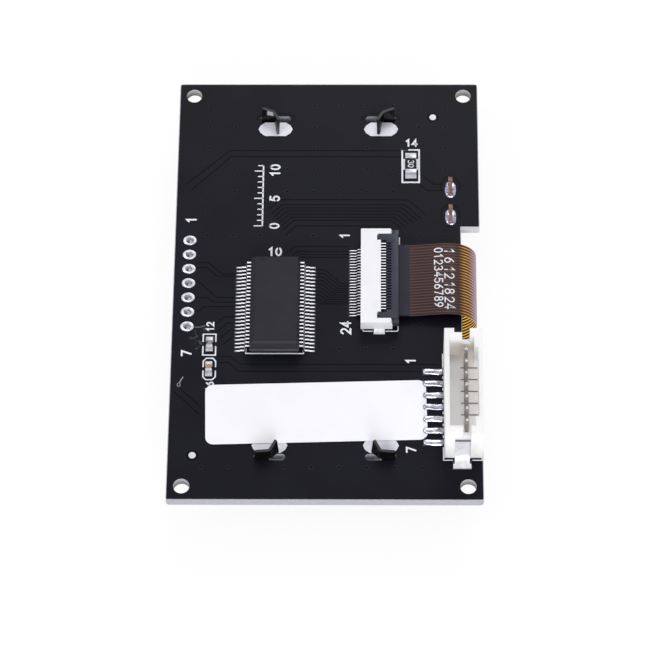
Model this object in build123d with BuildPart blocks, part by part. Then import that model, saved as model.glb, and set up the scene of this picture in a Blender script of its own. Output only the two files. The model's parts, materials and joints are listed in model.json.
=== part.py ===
from build123d import *

import math
import os

# A segment display module that lies on its display face, with its circuit board up.
# The origin is on the resting face, under the middle of the board.
# X runs along the board's short side, Y along its long side and Z up.

# Circuit board, which stands out round the bezel
board_side = 3.45
board_end = 6.65
board_t = 1.6
board_corner_r = 0.5
mount_hole_d = 2.4
mount_edge = 2.25
tin_t = 0.05

# Folded metal bezel
bezel_w = 39.6
bezel_l = 60.2
bezel_t = 0.4
bezel_bend_r = 0.55
bezel_corner_gap = 0.3
bezel_y = 0.25
window_w = 33.6
window_l = 51.0
window_r = 0.6

# Liquid crystal cell, from the front to the back
polariser_t = 0.2
polariser_inset = 0.5
glass_t = 1.1
cell_gap = 0.1
ledge_w = 2.4

# Backlight tray
tray_gap = 0.1
tray_wall = 1.2
tray_floor = 0.8
tray_corner_r = 0.4
reflector_t = 0.2
diffuser_t = 0.3
guide_t = 3.0
sheet_gap = 0.15
led_board_t = 0.6
led_size = 1.6
led_depth = 0.8
led_pitch = 9.0
led_count = 5

# Lock tabs, which are twisted over the board
tab_x = 8.2
tab_stem_w = 2.05
tab_rise = 1.9
tab_lift = 0.06
tab_bend_r = 0.45
slot_w = 4.7
slot_h = 1.04
lock_pad_w = 5.3
lock_pad_l = 2.5
lock_pad_flat = 3.2
lock_pad_round = (0.88, 0.55)
lock_pad_gap = 0.14

# Flexible cable between the cell and its connector
flex_y = 0.17
flex_ways = 24
flex_pitch = 0.5
flex_t = 0.12
flex_end_in = 1.2
flex_exit_z = 0.88
flex_hump_back = 2.8
flex_hump_z = 1.55
flex_edge_gap = 0.59
flex_shoulder_z = 1.32
flex_bond_l = 2.0
flex_hump_r = 9.0
flex_upper_share = 0.92
flex_lower_share = 0.98
stiffener_t = 0.2
stiffener_reach = 7.3
stiffener_lead = 0.3
notch_depth = 2.85
notch_l = 20.2
flex_side_gap = 0.4

# Flip-lock connector of the flexible cable
fpc_back = 15.25
fpc_end_margin = 2.55
fpc_h = 2.5
fpc_roof_w = 3.03
fpc_arm_reach = 4.51
fpc_floor_w = 4.75
fpc_arm_w = 0.8
fpc_floor_t = 0.72
fpc_roof_t = 0.18
fpc_lift = 0.15
fpc_nose_drop = 0.6
fpc_back_wall = 0.35
fpc_mouth_gap = 0.08
fpc_pocket_z = 0.47
fpc_pocket_gap = 0.25
fpc_undercut_z = 0.75
fpc_undercut_l = 0.25
fpc_tab_in = 2.8
fpc_tab_w = 1.65
fpc_tab_l = 0.6
fpc_tab_t = 0.2
fpc_pad_margin = 0.15
contact_w = 0.2
contact_beam_t = 0.2
contact_tip_in = 3.8
contact_toe_out = 1.65
contact_heel_out = 0.75
contact_t = 0.15
contact_low_z = 0.35
contact_low_in = 2.65
contact_post_w = 0.4
contact_bump_w = 0.6
contact_play = 0.02
contact_slot_gap = 0.04

# Latch of that connector
latch_pivot_in = 3.7
latch_pivot_z = 1.75
latch_shaft_r = 0.25
latch_top_z = 2.35
latch_under_z = 1.26
latch_front_in = 5.72
latch_step_in = 4.85
latch_gap = 0.08
latch_nose = 0.14
latch_ear_in = 2.7
latch_ear_w = 1.05
latch_ear_t = 0.35
latch_slot_w = 0.3
latch_slot_reach = 0.92
latch_trunnion_l = 0.3

# Seven-way header with a 2 mm pitch
header_ways = 7
header_pitch = 2.0
header_edge = 0.13
header_w = 5.62
header_near = 15.5
header_h = 8.0
header_end_margin = 2.95
header_wall = 0.75
header_key_wall = 1.2
header_key_l = 1.6
header_thin_wall = 0.62
header_end_wall = 1.5
header_floor_z = 2.4
header_notch_w = 1.15
header_notch_drop = 2.1
header_groove_w = 0.6
header_groove_d = 0.5
header_rib_w = 0.16
header_rib_d = 0.12
header_rib_shift = -0.65
header_undercut_z = 0.85
header_undercut_l = 0.45
header_corner_r = 0.15
header_pad_l = 3.1
header_pad_w = 1.1
post_in = 3.25
post_w = 0.5
post_top_z = 7.35
post_tip = 0.15
tail_l = 2.2
tail_t = 0.3
pin_fit = 0.02

# Solder clips of the header
clip_in = 2.63
clip_w = 2.2
clip_foot_w = 2.65
clip_t = 0.3
clip_top_z = 5.0
clip_bend_r = 1.1
clip_foot_l = 1.4
clip_foot_flat = 0.7
clip_pocket_d = 0.72
clip_gap = 0.1

# Driver chip with gull-wing leads
chip_x = -7.72
chip_y = -4.37
chip_w = 7.5
chip_l = 15.9
chip_z0 = 0.3
chip_mid_z = 1.5
chip_top_z = 2.75
chip_draft = 0.3
chip_bevel = 0.45
chip_dimple_d = 0.9
chip_dimple_in = 1.65
chip_dimple_end = 0.95
chip_dimple_z = 0.08
chip_ways = 24
chip_pitch = 0.635
chip_span = 10.3
lead_w = 0.28
lead_t = 0.18
lead_shoulder = 0.42
lead_foot = 0.75
chip_pad_l = 1.75
chip_pad_w = 0.36
chip_pad_reach = 0.9

# Small chips: two of the 0603 size and one of the 1206 size
small_chip_edge = 5.75
small_resistor_near = 26.3
small_capacitor_near = 22.0
small_chip_w = 0.85
small_chip_l = 1.6
small_cap_l = 0.4
small_resistor_h = 0.5
small_capacitor_h = 0.8
small_pad_l = 0.9
small_pad_w = 1.05
large_resistor_edge = 10.45
large_resistor_far = 15.25
large_chip_w = 1.6
large_chip_l = 3.2
large_cap_l = 0.55
large_chip_h = 0.6
large_pad_l = 1.45
large_pad_w = 1.7
chip_cap_t = 0.05

# Row of seven plated holes at the left edge
row_edge = 2.3
row_y = 0.24
row_ways = 7
row_pitch = 2.54
row_hole_d = 1.0
row_pad_w = 2.05
row_pad_l = 1.7
row_pad_sides = 12

# Bent-over backlight leads
lamp_edge = 4.4
lamp_y = 13.45
lamp_pitch = 5.0
lamp_lead_w = 0.62
lamp_lead_t = 0.25
lamp_lead_l = 2.95
lamp_lead_rise = 0.5
lamp_lead_tip = 0.78
lamp_bend_r = 0.3
lamp_hole_w = 1.0
lamp_hole_l = 0.7
lamp_pad_w = 2.0
lamp_pad_l = 3.15
lamp_pad_shift = 1.15
lamp_pad_cut = 0.55
solder_h = 0.5
solder_top = 0.45

# Blank label and the two dots that place the board in a machine
label_left = 5.45
label_right = 8.25
label_l = 10.05
label_t = 0.1
label_r = 1.2
label_near = 14.6
label_turn = 1.6
dot_d = 1.05
dot_far = (7.0, 6.25)
dot_near = (3.7, 7.35)

# Heights that follow from the stack
polariser_z = bezel_t
glass_z = polariser_z + polariser_t
rear_glass_z = glass_z + glass_t
tray_z = rear_glass_z + glass_t
rear_polariser_z = tray_z
diffuser_z = rear_polariser_z + polariser_t
guide_z = diffuser_z + diffuser_t
reflector_z = guide_z + guide_t
tray_floor_z = reflector_z + reflector_t
board_z = tray_floor_z + tray_floor
top = board_z + board_t

# Places that follow from the board's edges
board_w = bezel_w + 2 * board_side
board_l = bezel_l + 2 * board_end
mount_pitch_x = board_w - 2 * mount_edge
mount_pitch_y = board_l - 2 * mount_edge
notch_x = board_w / 2 - notch_depth
row_x = row_edge - board_w / 2
lamp_x = board_w / 2 - lamp_edge
label_w = board_w - label_left - label_right
label_x = (label_left - label_right) / 2
label_y = label_near - board_l / 2
small_chip_x = small_chip_edge - board_w / 2
small_resistor_y = small_resistor_near - board_l / 2
small_capacitor_y = small_capacitor_near - board_l / 2
large_resistor_x = board_w / 2 - large_resistor_edge
large_resistor_y = board_l / 2 - large_resistor_far
dot_places = [
    (board_w / 2 - dot_far[0], board_l / 2 - dot_far[1]),
    (dot_near[0] - board_w / 2, dot_near[1] - board_l / 2),
]
header_x1 = board_w / 2 - header_edge
header_x0 = header_x1 - header_w
header_y = header_near - board_l / 2
header_pad_x0 = header_x0 - header_pad_l
post_x = header_x0 + post_in
clip_x = header_x0 + clip_in
header_notch_x = clip_x + (clip_w + clip_gap - header_notch_w) / 2
tail_toe_x = header_x0 - tail_l

# Places of the flexible cable and its connector, which follow the notch
fpc_x = notch_x - fpc_back
fpc_roof_x = fpc_x + fpc_roof_w
fpc_arm_x = fpc_x + fpc_arm_reach
fpc_floor_x = fpc_x + fpc_floor_w
fpc_tab_x = fpc_x + fpc_tab_in
contact_tip_x = fpc_x + contact_tip_in
contact_toe_x = fpc_x - contact_toe_out
contact_heel_x = fpc_x - contact_heel_out
contact_low_x = fpc_x + contact_low_in
latch_pivot_x = fpc_x + latch_pivot_in
latch_front_x = fpc_x + latch_front_in
latch_step_x = fpc_x + latch_step_in
latch_ear_x = fpc_x + latch_ear_in
flex_end_x = fpc_x + flex_end_in
flex_hump_x = notch_x - flex_hump_back
flex_reach_x = board_w / 2 - flex_edge_gap
stiffener_end_x = fpc_x + stiffener_reach

# Widths that follow from the driving values
bezel_in_w = bezel_w - 2 * bezel_t
bezel_in_l = bezel_l - 2 * bezel_t
cell_w = bezel_in_w - 2 * cell_gap
cell_l = bezel_in_l - 2 * cell_gap
tray_w = bezel_in_w - 2 * tray_gap
tray_l = bezel_in_l - 2 * tray_gap
tray_in_w = tray_w - 2 * tray_wall
tray_in_l = tray_l - 2 * tray_wall
film_w = tray_in_w - 2 * sheet_gap
film_l = tray_in_l - 2 * sheet_gap
wall_y = bezel_l / 2 - bezel_t / 2
flex_w = (flex_ways + 1) * flex_pitch
flex_row = (flex_ways - 1) * flex_pitch
fpc_l = flex_row + 2 * fpc_end_margin
header_row = (header_ways - 1) * header_pitch
header_l = header_row + 2 * header_end_margin
header_mid_x = (header_x0 + header_x1) / 2

os.makedirs("parts", exist_ok=True)

# The four lock tabs, as (side in X, side in Y)
tab_sides = [(-1, 1), (1, 1), (-1, -1), (1, -1)]


def tab_line(side_y, at_top):
    """Centre line of a tab's head, as distances outward along X and inward along Y."""
    if side_y > 0:
        return [(2.0, -0.8), (0.3, -0.15), (-0.55, 1.3)] if at_top else [(2.15, 0), (0.1, 0), (-0.4, 2.85)]
    return [(2.0, -0.05), (-0.05, 0.12), (-0.98, 1.85)] if at_top else [(2.15, 0), (-0.2, 0), (-1.3, 0.95)]


# The circuit board, with its mounting holes, lock slots, edge notch and plated holes
with BuildPart() as circuit_board:
    with BuildSketch(Plane.XY.offset(board_z)):
        RectangleRounded(board_w, board_l, board_corner_r)
        with GridLocations(mount_pitch_x, mount_pitch_y, 2, 2):
            Circle(mount_hole_d / 2, mode=Mode.SUBTRACT)
        with Locations([(sx * tab_x, bezel_y + sy * wall_y) for sx, sy in tab_sides]):
            SlotOverall(slot_w, slot_h, mode=Mode.SUBTRACT)
        with Locations((board_w / 2, flex_y)):
            Rectangle(2 * notch_depth, notch_l, mode=Mode.SUBTRACT)
        with Locations((row_x, row_y)):
            with GridLocations(1, row_pitch, 1, row_ways):
                Circle(row_hole_d / 2, mode=Mode.SUBTRACT)
        with Locations((lamp_x, lamp_y)):
            with GridLocations(1, lamp_pitch, 1, 2):
                Rectangle(lamp_hole_w, lamp_hole_l, mode=Mode.SUBTRACT)
    extrude(amount=board_t)

# The bezel: one sheet folded into a shallow tray, with a window and four tabs
with BuildPart() as bezel_frame:
    with BuildSketch(Plane.XY):
        with Locations((0, bezel_y)):
            Rectangle(bezel_w, bezel_l)
    extrude(amount=board_z)
    fillet(bezel_frame.edges().group_by(Axis.Z)[0], radius=bezel_bend_r)
    with BuildSketch(Plane.XY.offset(bezel_t)):
        with Locations((0, bezel_y)):
            Rectangle(bezel_in_w, bezel_in_l)
    extrude(amount=board_z, mode=Mode.SUBTRACT)
    with BuildSketch(Plane.XY):
        with Locations((0, bezel_y)):
            RectangleRounded(window_w, window_l, window_r)
    extrude(amount=bezel_t, mode=Mode.SUBTRACT)
    with BuildSketch(Plane.XY.offset(bezel_bend_r)):
        with Locations((0, bezel_y)):
            with GridLocations(bezel_in_w - bezel_corner_gap, bezel_in_l + bezel_t, 2, 2):
                Rectangle(bezel_corner_gap, 2 * bezel_t)
    extrude(amount=board_z, mode=Mode.SUBTRACT)
    with BuildSketch(Plane.XY.offset(rear_glass_z - bezel_t)):
        with Locations((bezel_w / 2, flex_y)):
            Rectangle(4 * bezel_t, flex_w + 2 * flex_side_gap)
    extrude(amount=board_z, mode=Mode.SUBTRACT)
    for side_x, side_y in tab_sides:
        slot_y = bezel_y + side_y * wall_y
        stem_x = side_x * (tab_x + slot_w / 2 - tab_stem_w / 2 - bezel_t / 2)
        with BuildSketch(Plane.XY.offset(board_z - board_t)):
            with Locations((stem_x, slot_y)):
                Rectangle(tab_stem_w, bezel_t)
        extrude(amount=2 * board_t + tab_lift)
        for height, at_top in [(top + tab_lift, False), (top + tab_rise, True)]:
            with BuildSketch(Plane.XY.offset(height)):
                with BuildLine():
                    line = [(side_x * (tab_x + u), slot_y - side_y * v) for u, v in tab_line(side_y, at_top)]
                    FilletPolyline(*line, radius=tab_bend_r)
                trace(line_width=bezel_t)
        loft(ruled=True)

# The liquid crystal cell and its two polarisers
with BuildPart() as front_polariser:
    with BuildSketch(Plane.XY.offset(polariser_z)):
        with Locations((-ledge_w / 2, bezel_y)):
            Rectangle(cell_w - ledge_w - 2 * polariser_inset, cell_l - 2 * polariser_inset)
    extrude(amount=polariser_t)

with BuildPart() as front_glass:
    with BuildSketch(Plane.XY.offset(glass_z)):
        with Locations((0, bezel_y)):
            Rectangle(cell_w, cell_l)
    extrude(amount=glass_t)

with BuildPart() as rear_glass:
    with BuildSketch(Plane.XY.offset(rear_glass_z)):
        with Locations((-ledge_w / 2, bezel_y)):
            Rectangle(cell_w - ledge_w, cell_l)
    extrude(amount=glass_t)

with BuildPart() as rear_polariser:
    with BuildSketch(Plane.XY.offset(rear_polariser_z)):
        with Locations((-ledge_w / 2, bezel_y)):
            Rectangle(film_w - ledge_w, film_l)
    extrude(amount=polariser_t)

# The backlight: a white tray with a diffuser, a light guide, a reflector and a lamp strip
with BuildPart() as backlight_tray:
    with BuildSketch(Plane.XY.offset(tray_z)):
        with Locations((0, bezel_y)):
            RectangleRounded(tray_w, tray_l, tray_corner_r)
            Rectangle(tray_in_w, tray_in_l, mode=Mode.SUBTRACT)
    extrude(amount=board_z - tray_z)
    with BuildSketch(Plane.XY.offset(tray_floor_z)):
        with Locations((0, bezel_y)):
            Rectangle(tray_in_w, tray_in_l)
    extrude(amount=tray_floor)
    with BuildSketch(Plane.XY.offset(tray_floor_z)):
        with Locations((lamp_x, lamp_y)):
            with GridLocations(1, lamp_pitch, 1, 2):
                Rectangle(lamp_lead_w, lamp_lead_t)
    extrude(amount=tray_floor, mode=Mode.SUBTRACT)

with BuildPart() as diffuser_sheet:
    with BuildSketch(Plane.XY.offset(diffuser_z)):
        with Locations((0, bezel_y)):
            Rectangle(film_w, film_l)
    extrude(amount=diffuser_t)

led_face_x = film_w / 2 - led_board_t - led_depth
with BuildPart() as light_guide:
    with BuildSketch(Plane.XY.offset(guide_z)):
        with Locations(((led_face_x - film_w / 2) / 2, bezel_y)):
            Rectangle(led_face_x + film_w / 2, film_l)
    extrude(amount=guide_t)

with BuildPart() as reflector_sheet:
    with BuildSketch(Plane.XY.offset(reflector_z)):
        with Locations((0, bezel_y)):
            Rectangle(film_w, film_l)
    extrude(amount=reflector_t)

with BuildPart() as lamp_strip:
    with BuildSketch(Plane.XY.offset(guide_z)):
        with Locations((film_w / 2 - led_board_t / 2, bezel_y)):
            Rectangle(led_board_t, film_l)
    extrude(amount=guide_t)
    with BuildSketch(Plane.XY.offset(guide_z + (guide_t - led_size) / 2)):
        with Locations((led_face_x + led_depth / 2, bezel_y)):
            with GridLocations(1, led_pitch, 1, led_count):
                Rectangle(led_depth, 2 * led_size)
    extrude(amount=led_size)

# The lamp's two leads, up through the board, bent over and soldered
with BuildPart() as lamp_leads:
    for row in range(2):
        lead_y = lamp_y + (0.5 - row) * lamp_pitch
        with BuildSketch(Plane.YZ.offset(lamp_x - lamp_lead_w / 2)):
            with BuildLine():
                FilletPolyline(
                    (lead_y, tray_floor_z),
                    (lead_y, top + lamp_lead_rise),
                    (lead_y + lamp_lead_l, top + lamp_lead_tip),
                    radius=lamp_bend_r,
                )
            trace(line_width=lamp_lead_t)
        extrude(amount=lamp_lead_w)

with BuildPart() as lamp_solder:
    for row in range(2):
        joint_y = lamp_y + lamp_pad_shift + (0.5 - row) * lamp_pitch
        for height, share in [(top, 1.0), (top + solder_h, solder_top)]:
            with BuildSketch(Plane.XY.offset(height)) as joint_outline:
                with Locations((lamp_x, joint_y)):
                    Rectangle(share * lamp_pad_w, share * lamp_pad_l)
                chamfer(joint_outline.vertices(), length=share * lamp_pad_cut)
        loft(ruled=True)
    add(lamp_leads.part, mode=Mode.SUBTRACT)

# The flexible cable: out of its connector, over a low hump and round the board's notch
# in one wide bend to the ledge of the front glass
flex_low_z = rear_glass_z + flex_t / 2
bend_r = (top + flex_shoulder_z - flex_low_z) / 2
with BuildPart() as flex_cable:
    with BuildSketch(Plane.XZ.offset(-flex_y - flex_w / 2)):
        with BuildLine():
            FilletPolyline(
                (flex_end_x, top + flex_exit_z),
                (stiffener_end_x + stiffener_lead, top + flex_exit_z),
                (flex_hump_x, top + flex_hump_z),
                (flex_reach_x, top + flex_shoulder_z),
                (flex_reach_x, flex_low_z),
                (cell_w / 2 - flex_bond_l, flex_low_z),
                radius=[flex_hump_r, flex_hump_r, flex_upper_share * bend_r, flex_lower_share * bend_r],
            )
        trace(line_width=flex_t)
    extrude(amount=flex_w)

with BuildPart() as flex_stiffener:
    with BuildSketch(Plane.XY.offset(top + flex_exit_z + flex_t / 2)):
        with Locations(((flex_end_x + stiffener_end_x) / 2, flex_y)):
            Rectangle(stiffener_end_x - flex_end_x, flex_w)
    extrude(amount=stiffener_t)

# Places along the row of the flexible cable's contacts
flex_places = [flex_y + (i - (flex_ways - 1) / 2) * flex_pitch for i in range(flex_ways)]
fpc_end = fpc_l / 2
arm_in = fpc_end - fpc_arm_w
ear_mid = arm_in - latch_gap - latch_ear_w / 2
pocket_r = latch_pivot_x - latch_ear_x + fpc_pocket_gap
beam_z = fpc_h - fpc_roof_t - contact_beam_t
with BuildPart() as flex_connector_housing:
    with BuildSketch(Plane.XZ.offset(-flex_y)):
        with BuildLine():
            Polyline(
                (fpc_x, top + fpc_lift),
                (fpc_x, top + fpc_h),
                (fpc_arm_x, top + fpc_h),
                (fpc_floor_x, top + fpc_h - fpc_nose_drop),
                (fpc_floor_x, top + fpc_lift),
                close=True,
            )
        make_face()
    extrude(amount=fpc_end, both=True)
    with BuildSketch(Plane.XY.offset(top + fpc_floor_t)):
        with Locations((fpc_roof_x + fpc_floor_x / 2, flex_y)):
            Rectangle(fpc_floor_x, 2 * arm_in)
    extrude(amount=fpc_h, mode=Mode.SUBTRACT)
    with BuildSketch(Plane.XY.offset(top + fpc_pocket_z)):
        with Locations((latch_pivot_x, flex_y)):
            with GridLocations(1, 2 * ear_mid, 1, 2):
                Rectangle(2 * pocket_r, latch_ear_w + 2 * latch_gap)
    extrude(amount=fpc_h, mode=Mode.SUBTRACT)
    with BuildSketch(Plane.XY.offset(top + fpc_floor_t)):
        with Locations((flex_end_x - fpc_mouth_gap + fpc_floor_x / 2, flex_y)):
            Rectangle(fpc_floor_x, flex_w + fpc_mouth_gap)
    extrude(amount=flex_exit_z + flex_t / 2 + stiffener_t + fpc_mouth_gap - fpc_floor_t, mode=Mode.SUBTRACT)
    with BuildSketch(Plane.XZ.offset(-flex_y)):
        with Locations((latch_pivot_x, top + latch_pivot_z)):
            Circle(latch_shaft_r + latch_gap)
    extrude(amount=arm_in + latch_trunnion_l + latch_gap, both=True, mode=Mode.SUBTRACT)
    with BuildSketch(Plane.XY.offset(top + contact_low_z - contact_slot_gap)):
        with Locations(*[(fpc_x + fpc_back_wall + fpc_floor_x / 2, y) for y in flex_places]):
            Rectangle(fpc_floor_x, contact_w + 2 * contact_slot_gap)
    extrude(amount=fpc_h - fpc_roof_t + 2 * contact_slot_gap - contact_low_z, mode=Mode.SUBTRACT)
    with BuildSketch(Plane.XY.offset(top + contact_low_z - contact_slot_gap)):
        with Locations(*[(fpc_x, y) for y in flex_places]):
            Rectangle(4 * fpc_back_wall, contact_w + 2 * contact_slot_gap)
    extrude(amount=contact_beam_t + 2 * contact_slot_gap, mode=Mode.SUBTRACT)
    with BuildSketch(Plane.XY.offset(top)):
        with Locations((fpc_x, flex_y)):
            with GridLocations(1, fpc_l, 1, 2):
                Rectangle(4 * fpc_arm_x, 2 * fpc_undercut_l)
    extrude(amount=fpc_undercut_z, mode=Mode.SUBTRACT)

# The contacts of that connector: a foot, a lower arm and an upper arm that hooks over the latch
with BuildPart() as flex_connector_contacts:
    with BuildSketch(Plane.XZ.offset(-flex_places[0] - contact_w / 2)):
        with BuildLine():
            Polyline(
                (contact_toe_x, top + tin_t),
                (contact_toe_x, top + tin_t + contact_t),
                (contact_heel_x, top + tin_t + contact_t),
                (contact_heel_x + contact_low_z, top + contact_low_z + contact_beam_t),
                (fpc_x + fpc_back_wall + contact_slot_gap, top + contact_low_z + contact_beam_t),
                (fpc_x + fpc_back_wall + contact_slot_gap, top + beam_z + contact_beam_t),
                (contact_tip_x, top + beam_z + contact_beam_t),
                (contact_tip_x, top + beam_z),
                (fpc_x + fpc_back_wall + contact_post_w, top + beam_z),
                (fpc_x + fpc_back_wall + contact_post_w, top + contact_low_z + contact_beam_t),
                (contact_low_x - contact_bump_w, top + contact_low_z + contact_beam_t),
                (contact_low_x - contact_bump_w / 2, top + flex_exit_z - flex_t / 2 - contact_play),
                (contact_low_x, top + contact_low_z + contact_beam_t),
                (contact_low_x, top + contact_low_z),
                (contact_heel_x + contact_low_z + contact_t, top + contact_low_z),
                (contact_heel_x + contact_t, top + tin_t),
                close=True,
            )
        make_face()
    extrude(amount=contact_w)
    blade = flex_connector_contacts.part
    for place in flex_places[1:]:
        add(Pos(0, place - flex_places[0], 0) * blade)

# The latch: a bar on a shaft, with two ears and a slot for each contact
with BuildPart() as flex_connector_latch:
    with BuildSketch(Plane.XZ.offset(-flex_y)):
        with BuildLine():
            Polyline(
                (latch_pivot_x, top + latch_pivot_z - latch_shaft_r),
                (latch_pivot_x, top + latch_pivot_z),
                (contact_tip_x + latch_gap, top + latch_pivot_z),
                (contact_tip_x + latch_gap, top + latch_top_z),
                (latch_front_x - latch_nose, top + latch_top_z),
                (latch_front_x, top + latch_top_z - latch_nose),
                (latch_front_x, top + latch_under_z),
                (latch_pivot_x + 2 * latch_shaft_r, top + latch_under_z),
                close=True,
            )
        make_face()
        with Locations((latch_pivot_x, top + latch_pivot_z)):
            Circle(latch_shaft_r)
    extrude(amount=arm_in - latch_gap, both=True)
    with BuildSketch(Plane.XY.offset(top + latch_under_z)):
        with Locations(((latch_step_x + latch_front_x) / 2, flex_y)):
            Rectangle(latch_front_x - latch_step_x, 2 * (fpc_end - latch_gap))
    extrude(amount=latch_top_z - latch_under_z - latch_nose)
    with BuildSketch(Plane.XY.offset(top + latch_top_z - latch_ear_t)):
        with Locations(((latch_ear_x + latch_pivot_x + 2 * latch_shaft_r) / 2, flex_y)):
            with GridLocations(1, 2 * ear_mid, 1, 2):
                Rectangle(latch_pivot_x + 2 * latch_shaft_r - latch_ear_x, latch_ear_w)
    extrude(amount=latch_ear_t)
    with BuildSketch(Plane.XY.offset(top + latch_pivot_z)):
        with Locations((latch_pivot_x + latch_shaft_r / 2, flex_y)):
            with GridLocations(1, 2 * ear_mid, 1, 2):
                Rectangle(latch_shaft_r, latch_ear_w)
    extrude(amount=latch_top_z - latch_pivot_z)
    with BuildSketch(Plane.XZ.offset(-flex_y)):
        with Locations((latch_pivot_x, top + latch_pivot_z)):
            Circle(latch_shaft_r)
    extrude(amount=arm_in + latch_trunnion_l, both=True)
    with BuildSketch(Plane.XY.offset(top + latch_pivot_z + latch_shaft_r)):
        with Locations(*[(latch_pivot_x, y) for y in flex_places]):
            Rectangle(2 * latch_slot_reach, latch_slot_w)
    extrude(amount=latch_top_z, mode=Mode.SUBTRACT)
    with BuildSketch(Plane.XY.offset(top + latch_under_z)):
        with Locations(*[(latch_pivot_x + (latch_shaft_r + latch_slot_reach) / 2, y) for y in flex_places]):
            Rectangle(latch_slot_reach - latch_shaft_r, latch_slot_w)
    extrude(amount=latch_top_z, mode=Mode.SUBTRACT)

with BuildPart() as flex_connector_tabs:
    for side in (-1, 1):
        tab_face_y = flex_y + side * fpc_end
        with BuildSketch(Plane.YZ.offset(fpc_tab_x - fpc_tab_w / 2)):
            with BuildLine():
                Polyline(
                    (tab_face_y - side * fpc_undercut_l, top + tin_t),
                    (tab_face_y - side * fpc_undercut_l, top + fpc_undercut_z),
                    (tab_face_y - side * (fpc_undercut_l - fpc_tab_t), top + fpc_undercut_z),
                    (tab_face_y - side * (fpc_undercut_l - fpc_tab_t), top + tin_t + fpc_tab_t),
                    (tab_face_y + side * fpc_tab_l, top + tin_t + fpc_tab_t),
                    (tab_face_y + side * fpc_tab_l, top + tin_t),
                    close=True,
                )
            make_face()
        extrude(amount=fpc_tab_w)

# The header: a moulded shroud with posts and polarising keys; each end wall has a recess for its
# clip, open at the top, with a notch through the thin wall behind it
cavity_l = header_l - 2 * header_end_wall
header_places = [header_y + (i - (header_ways - 1) / 2) * header_pitch for i in range(header_ways)]
with BuildPart() as header_housing:
    with BuildSketch(Plane.XY.offset(top)):
        with Locations((header_mid_x, header_y)):
            Rectangle(header_w, header_l)
    extrude(amount=header_h)
    fillet(header_housing.edges().filter_by(Axis.Z), radius=header_corner_r)
    with BuildSketch(Plane.XY.offset(top + header_floor_z)):
        with Locations(((header_x0 + header_wall + header_x1 - header_key_wall) / 2, header_y)):
            Rectangle(header_w - header_wall - header_key_wall, cavity_l)
        with Locations((header_mid_x, header_y)):
            Rectangle(header_w - 2 * header_thin_wall, cavity_l - 2 * header_key_l)
        with Locations((header_x0, header_y)):
            Rectangle(2 * header_wall, cavity_l, mode=Mode.SUBTRACT)
    extrude(amount=header_h, mode=Mode.SUBTRACT)
    with BuildSketch(Plane.XY.offset(top + header_floor_z - header_groove_d)):
        with Locations((post_x, header_y)):
            Rectangle(header_groove_w, cavity_l)
    extrude(amount=header_h, mode=Mode.SUBTRACT)
    with BuildSketch(Plane.XY.offset(top + header_h - header_notch_drop)):
        with Locations((header_notch_x, header_y)):
            with GridLocations(1, header_l, 1, 2):
                Rectangle(header_notch_w, 2 * header_end_wall)
    extrude(amount=header_h, mode=Mode.SUBTRACT)
    with BuildSketch(Plane.XY.offset(top + header_floor_z - header_rib_d)):
        with Locations(((post_x + header_x1) / 2, header_y + header_rib_shift)):
            with GridLocations(1, header_pitch, 1, header_ways - 2):
                Rectangle(header_x1 - post_x - 2 * header_thin_wall, header_rib_w)
    extrude(amount=header_h - header_floor_z, mode=Mode.SUBTRACT)
    with BuildSketch(Plane.XY.offset(top)):
        with Locations((header_mid_x, header_y)):
            with GridLocations(1, header_l, 1, 2):
                Rectangle(2 * header_w, 2 * header_undercut_l)
    extrude(amount=header_undercut_z, mode=Mode.SUBTRACT)
    with BuildSketch(Plane.XY.offset(top)):
        with Locations((clip_x, header_y)):
            with GridLocations(1, header_l, 1, 2):
                Rectangle(clip_w + clip_gap, 2 * clip_pocket_d)
    extrude(amount=header_h, mode=Mode.SUBTRACT)
    with BuildSketch(Plane.XY.offset(top)):
        with Locations(*[((header_x0 + post_x) / 2, y) for y in header_places]):
            Rectangle(post_x - header_x0 + post_w + 2 * pin_fit, post_w + 2 * pin_fit)
    extrude(amount=tin_t + tail_t + pin_fit, mode=Mode.SUBTRACT)
    with BuildSketch(Plane.XY.offset(top)):
        with Locations(*[(post_x, y) for y in header_places]):
            Rectangle(post_w + 2 * pin_fit, post_w + 2 * pin_fit)
    extrude(amount=header_floor_z, mode=Mode.SUBTRACT)

with BuildPart() as header_pins:
    with BuildSketch(Plane.XY.offset(top + tin_t)):
        with Locations(*[((tail_toe_x + post_x + post_w / 2) / 2, y) for y in header_places]):
            Rectangle(post_x + post_w / 2 - tail_toe_x, post_w)
    extrude(amount=tail_t)
    with BuildSketch(Plane.XY.offset(top + tin_t)):
        with Locations(*[(post_x, y) for y in header_places]):
            Rectangle(post_w, post_w)
    extrude(amount=post_top_z - tin_t)
    chamfer(header_pins.faces().group_by(Axis.Z)[-1].edges(), length=post_tip)

with BuildPart() as header_clips:
    for side in (-1, 1):
        clip_y = header_y + side * (header_l / 2 - clip_pocket_d + clip_t / 2 + clip_gap / 4)
        foot_y = header_y + side * (header_l / 2 + clip_foot_l)
        clip_z = top + tin_t + clip_t / 2
        with BuildSketch(Plane.YZ.offset(clip_x - clip_w / 2)):
            with BuildLine():
                FilletPolyline(
                    (clip_y, top + clip_top_z),
                    (clip_y, clip_z),
                    (foot_y, clip_z),
                    radius=clip_bend_r,
                )
            trace(line_width=clip_t)
        extrude(amount=clip_w)
        with BuildSketch(Plane.XY.offset(top + tin_t)):
            with Locations((clip_x, foot_y - side * clip_foot_flat / 2)):
                Rectangle(clip_foot_w, clip_foot_flat)
        extrude(amount=clip_t)

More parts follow.
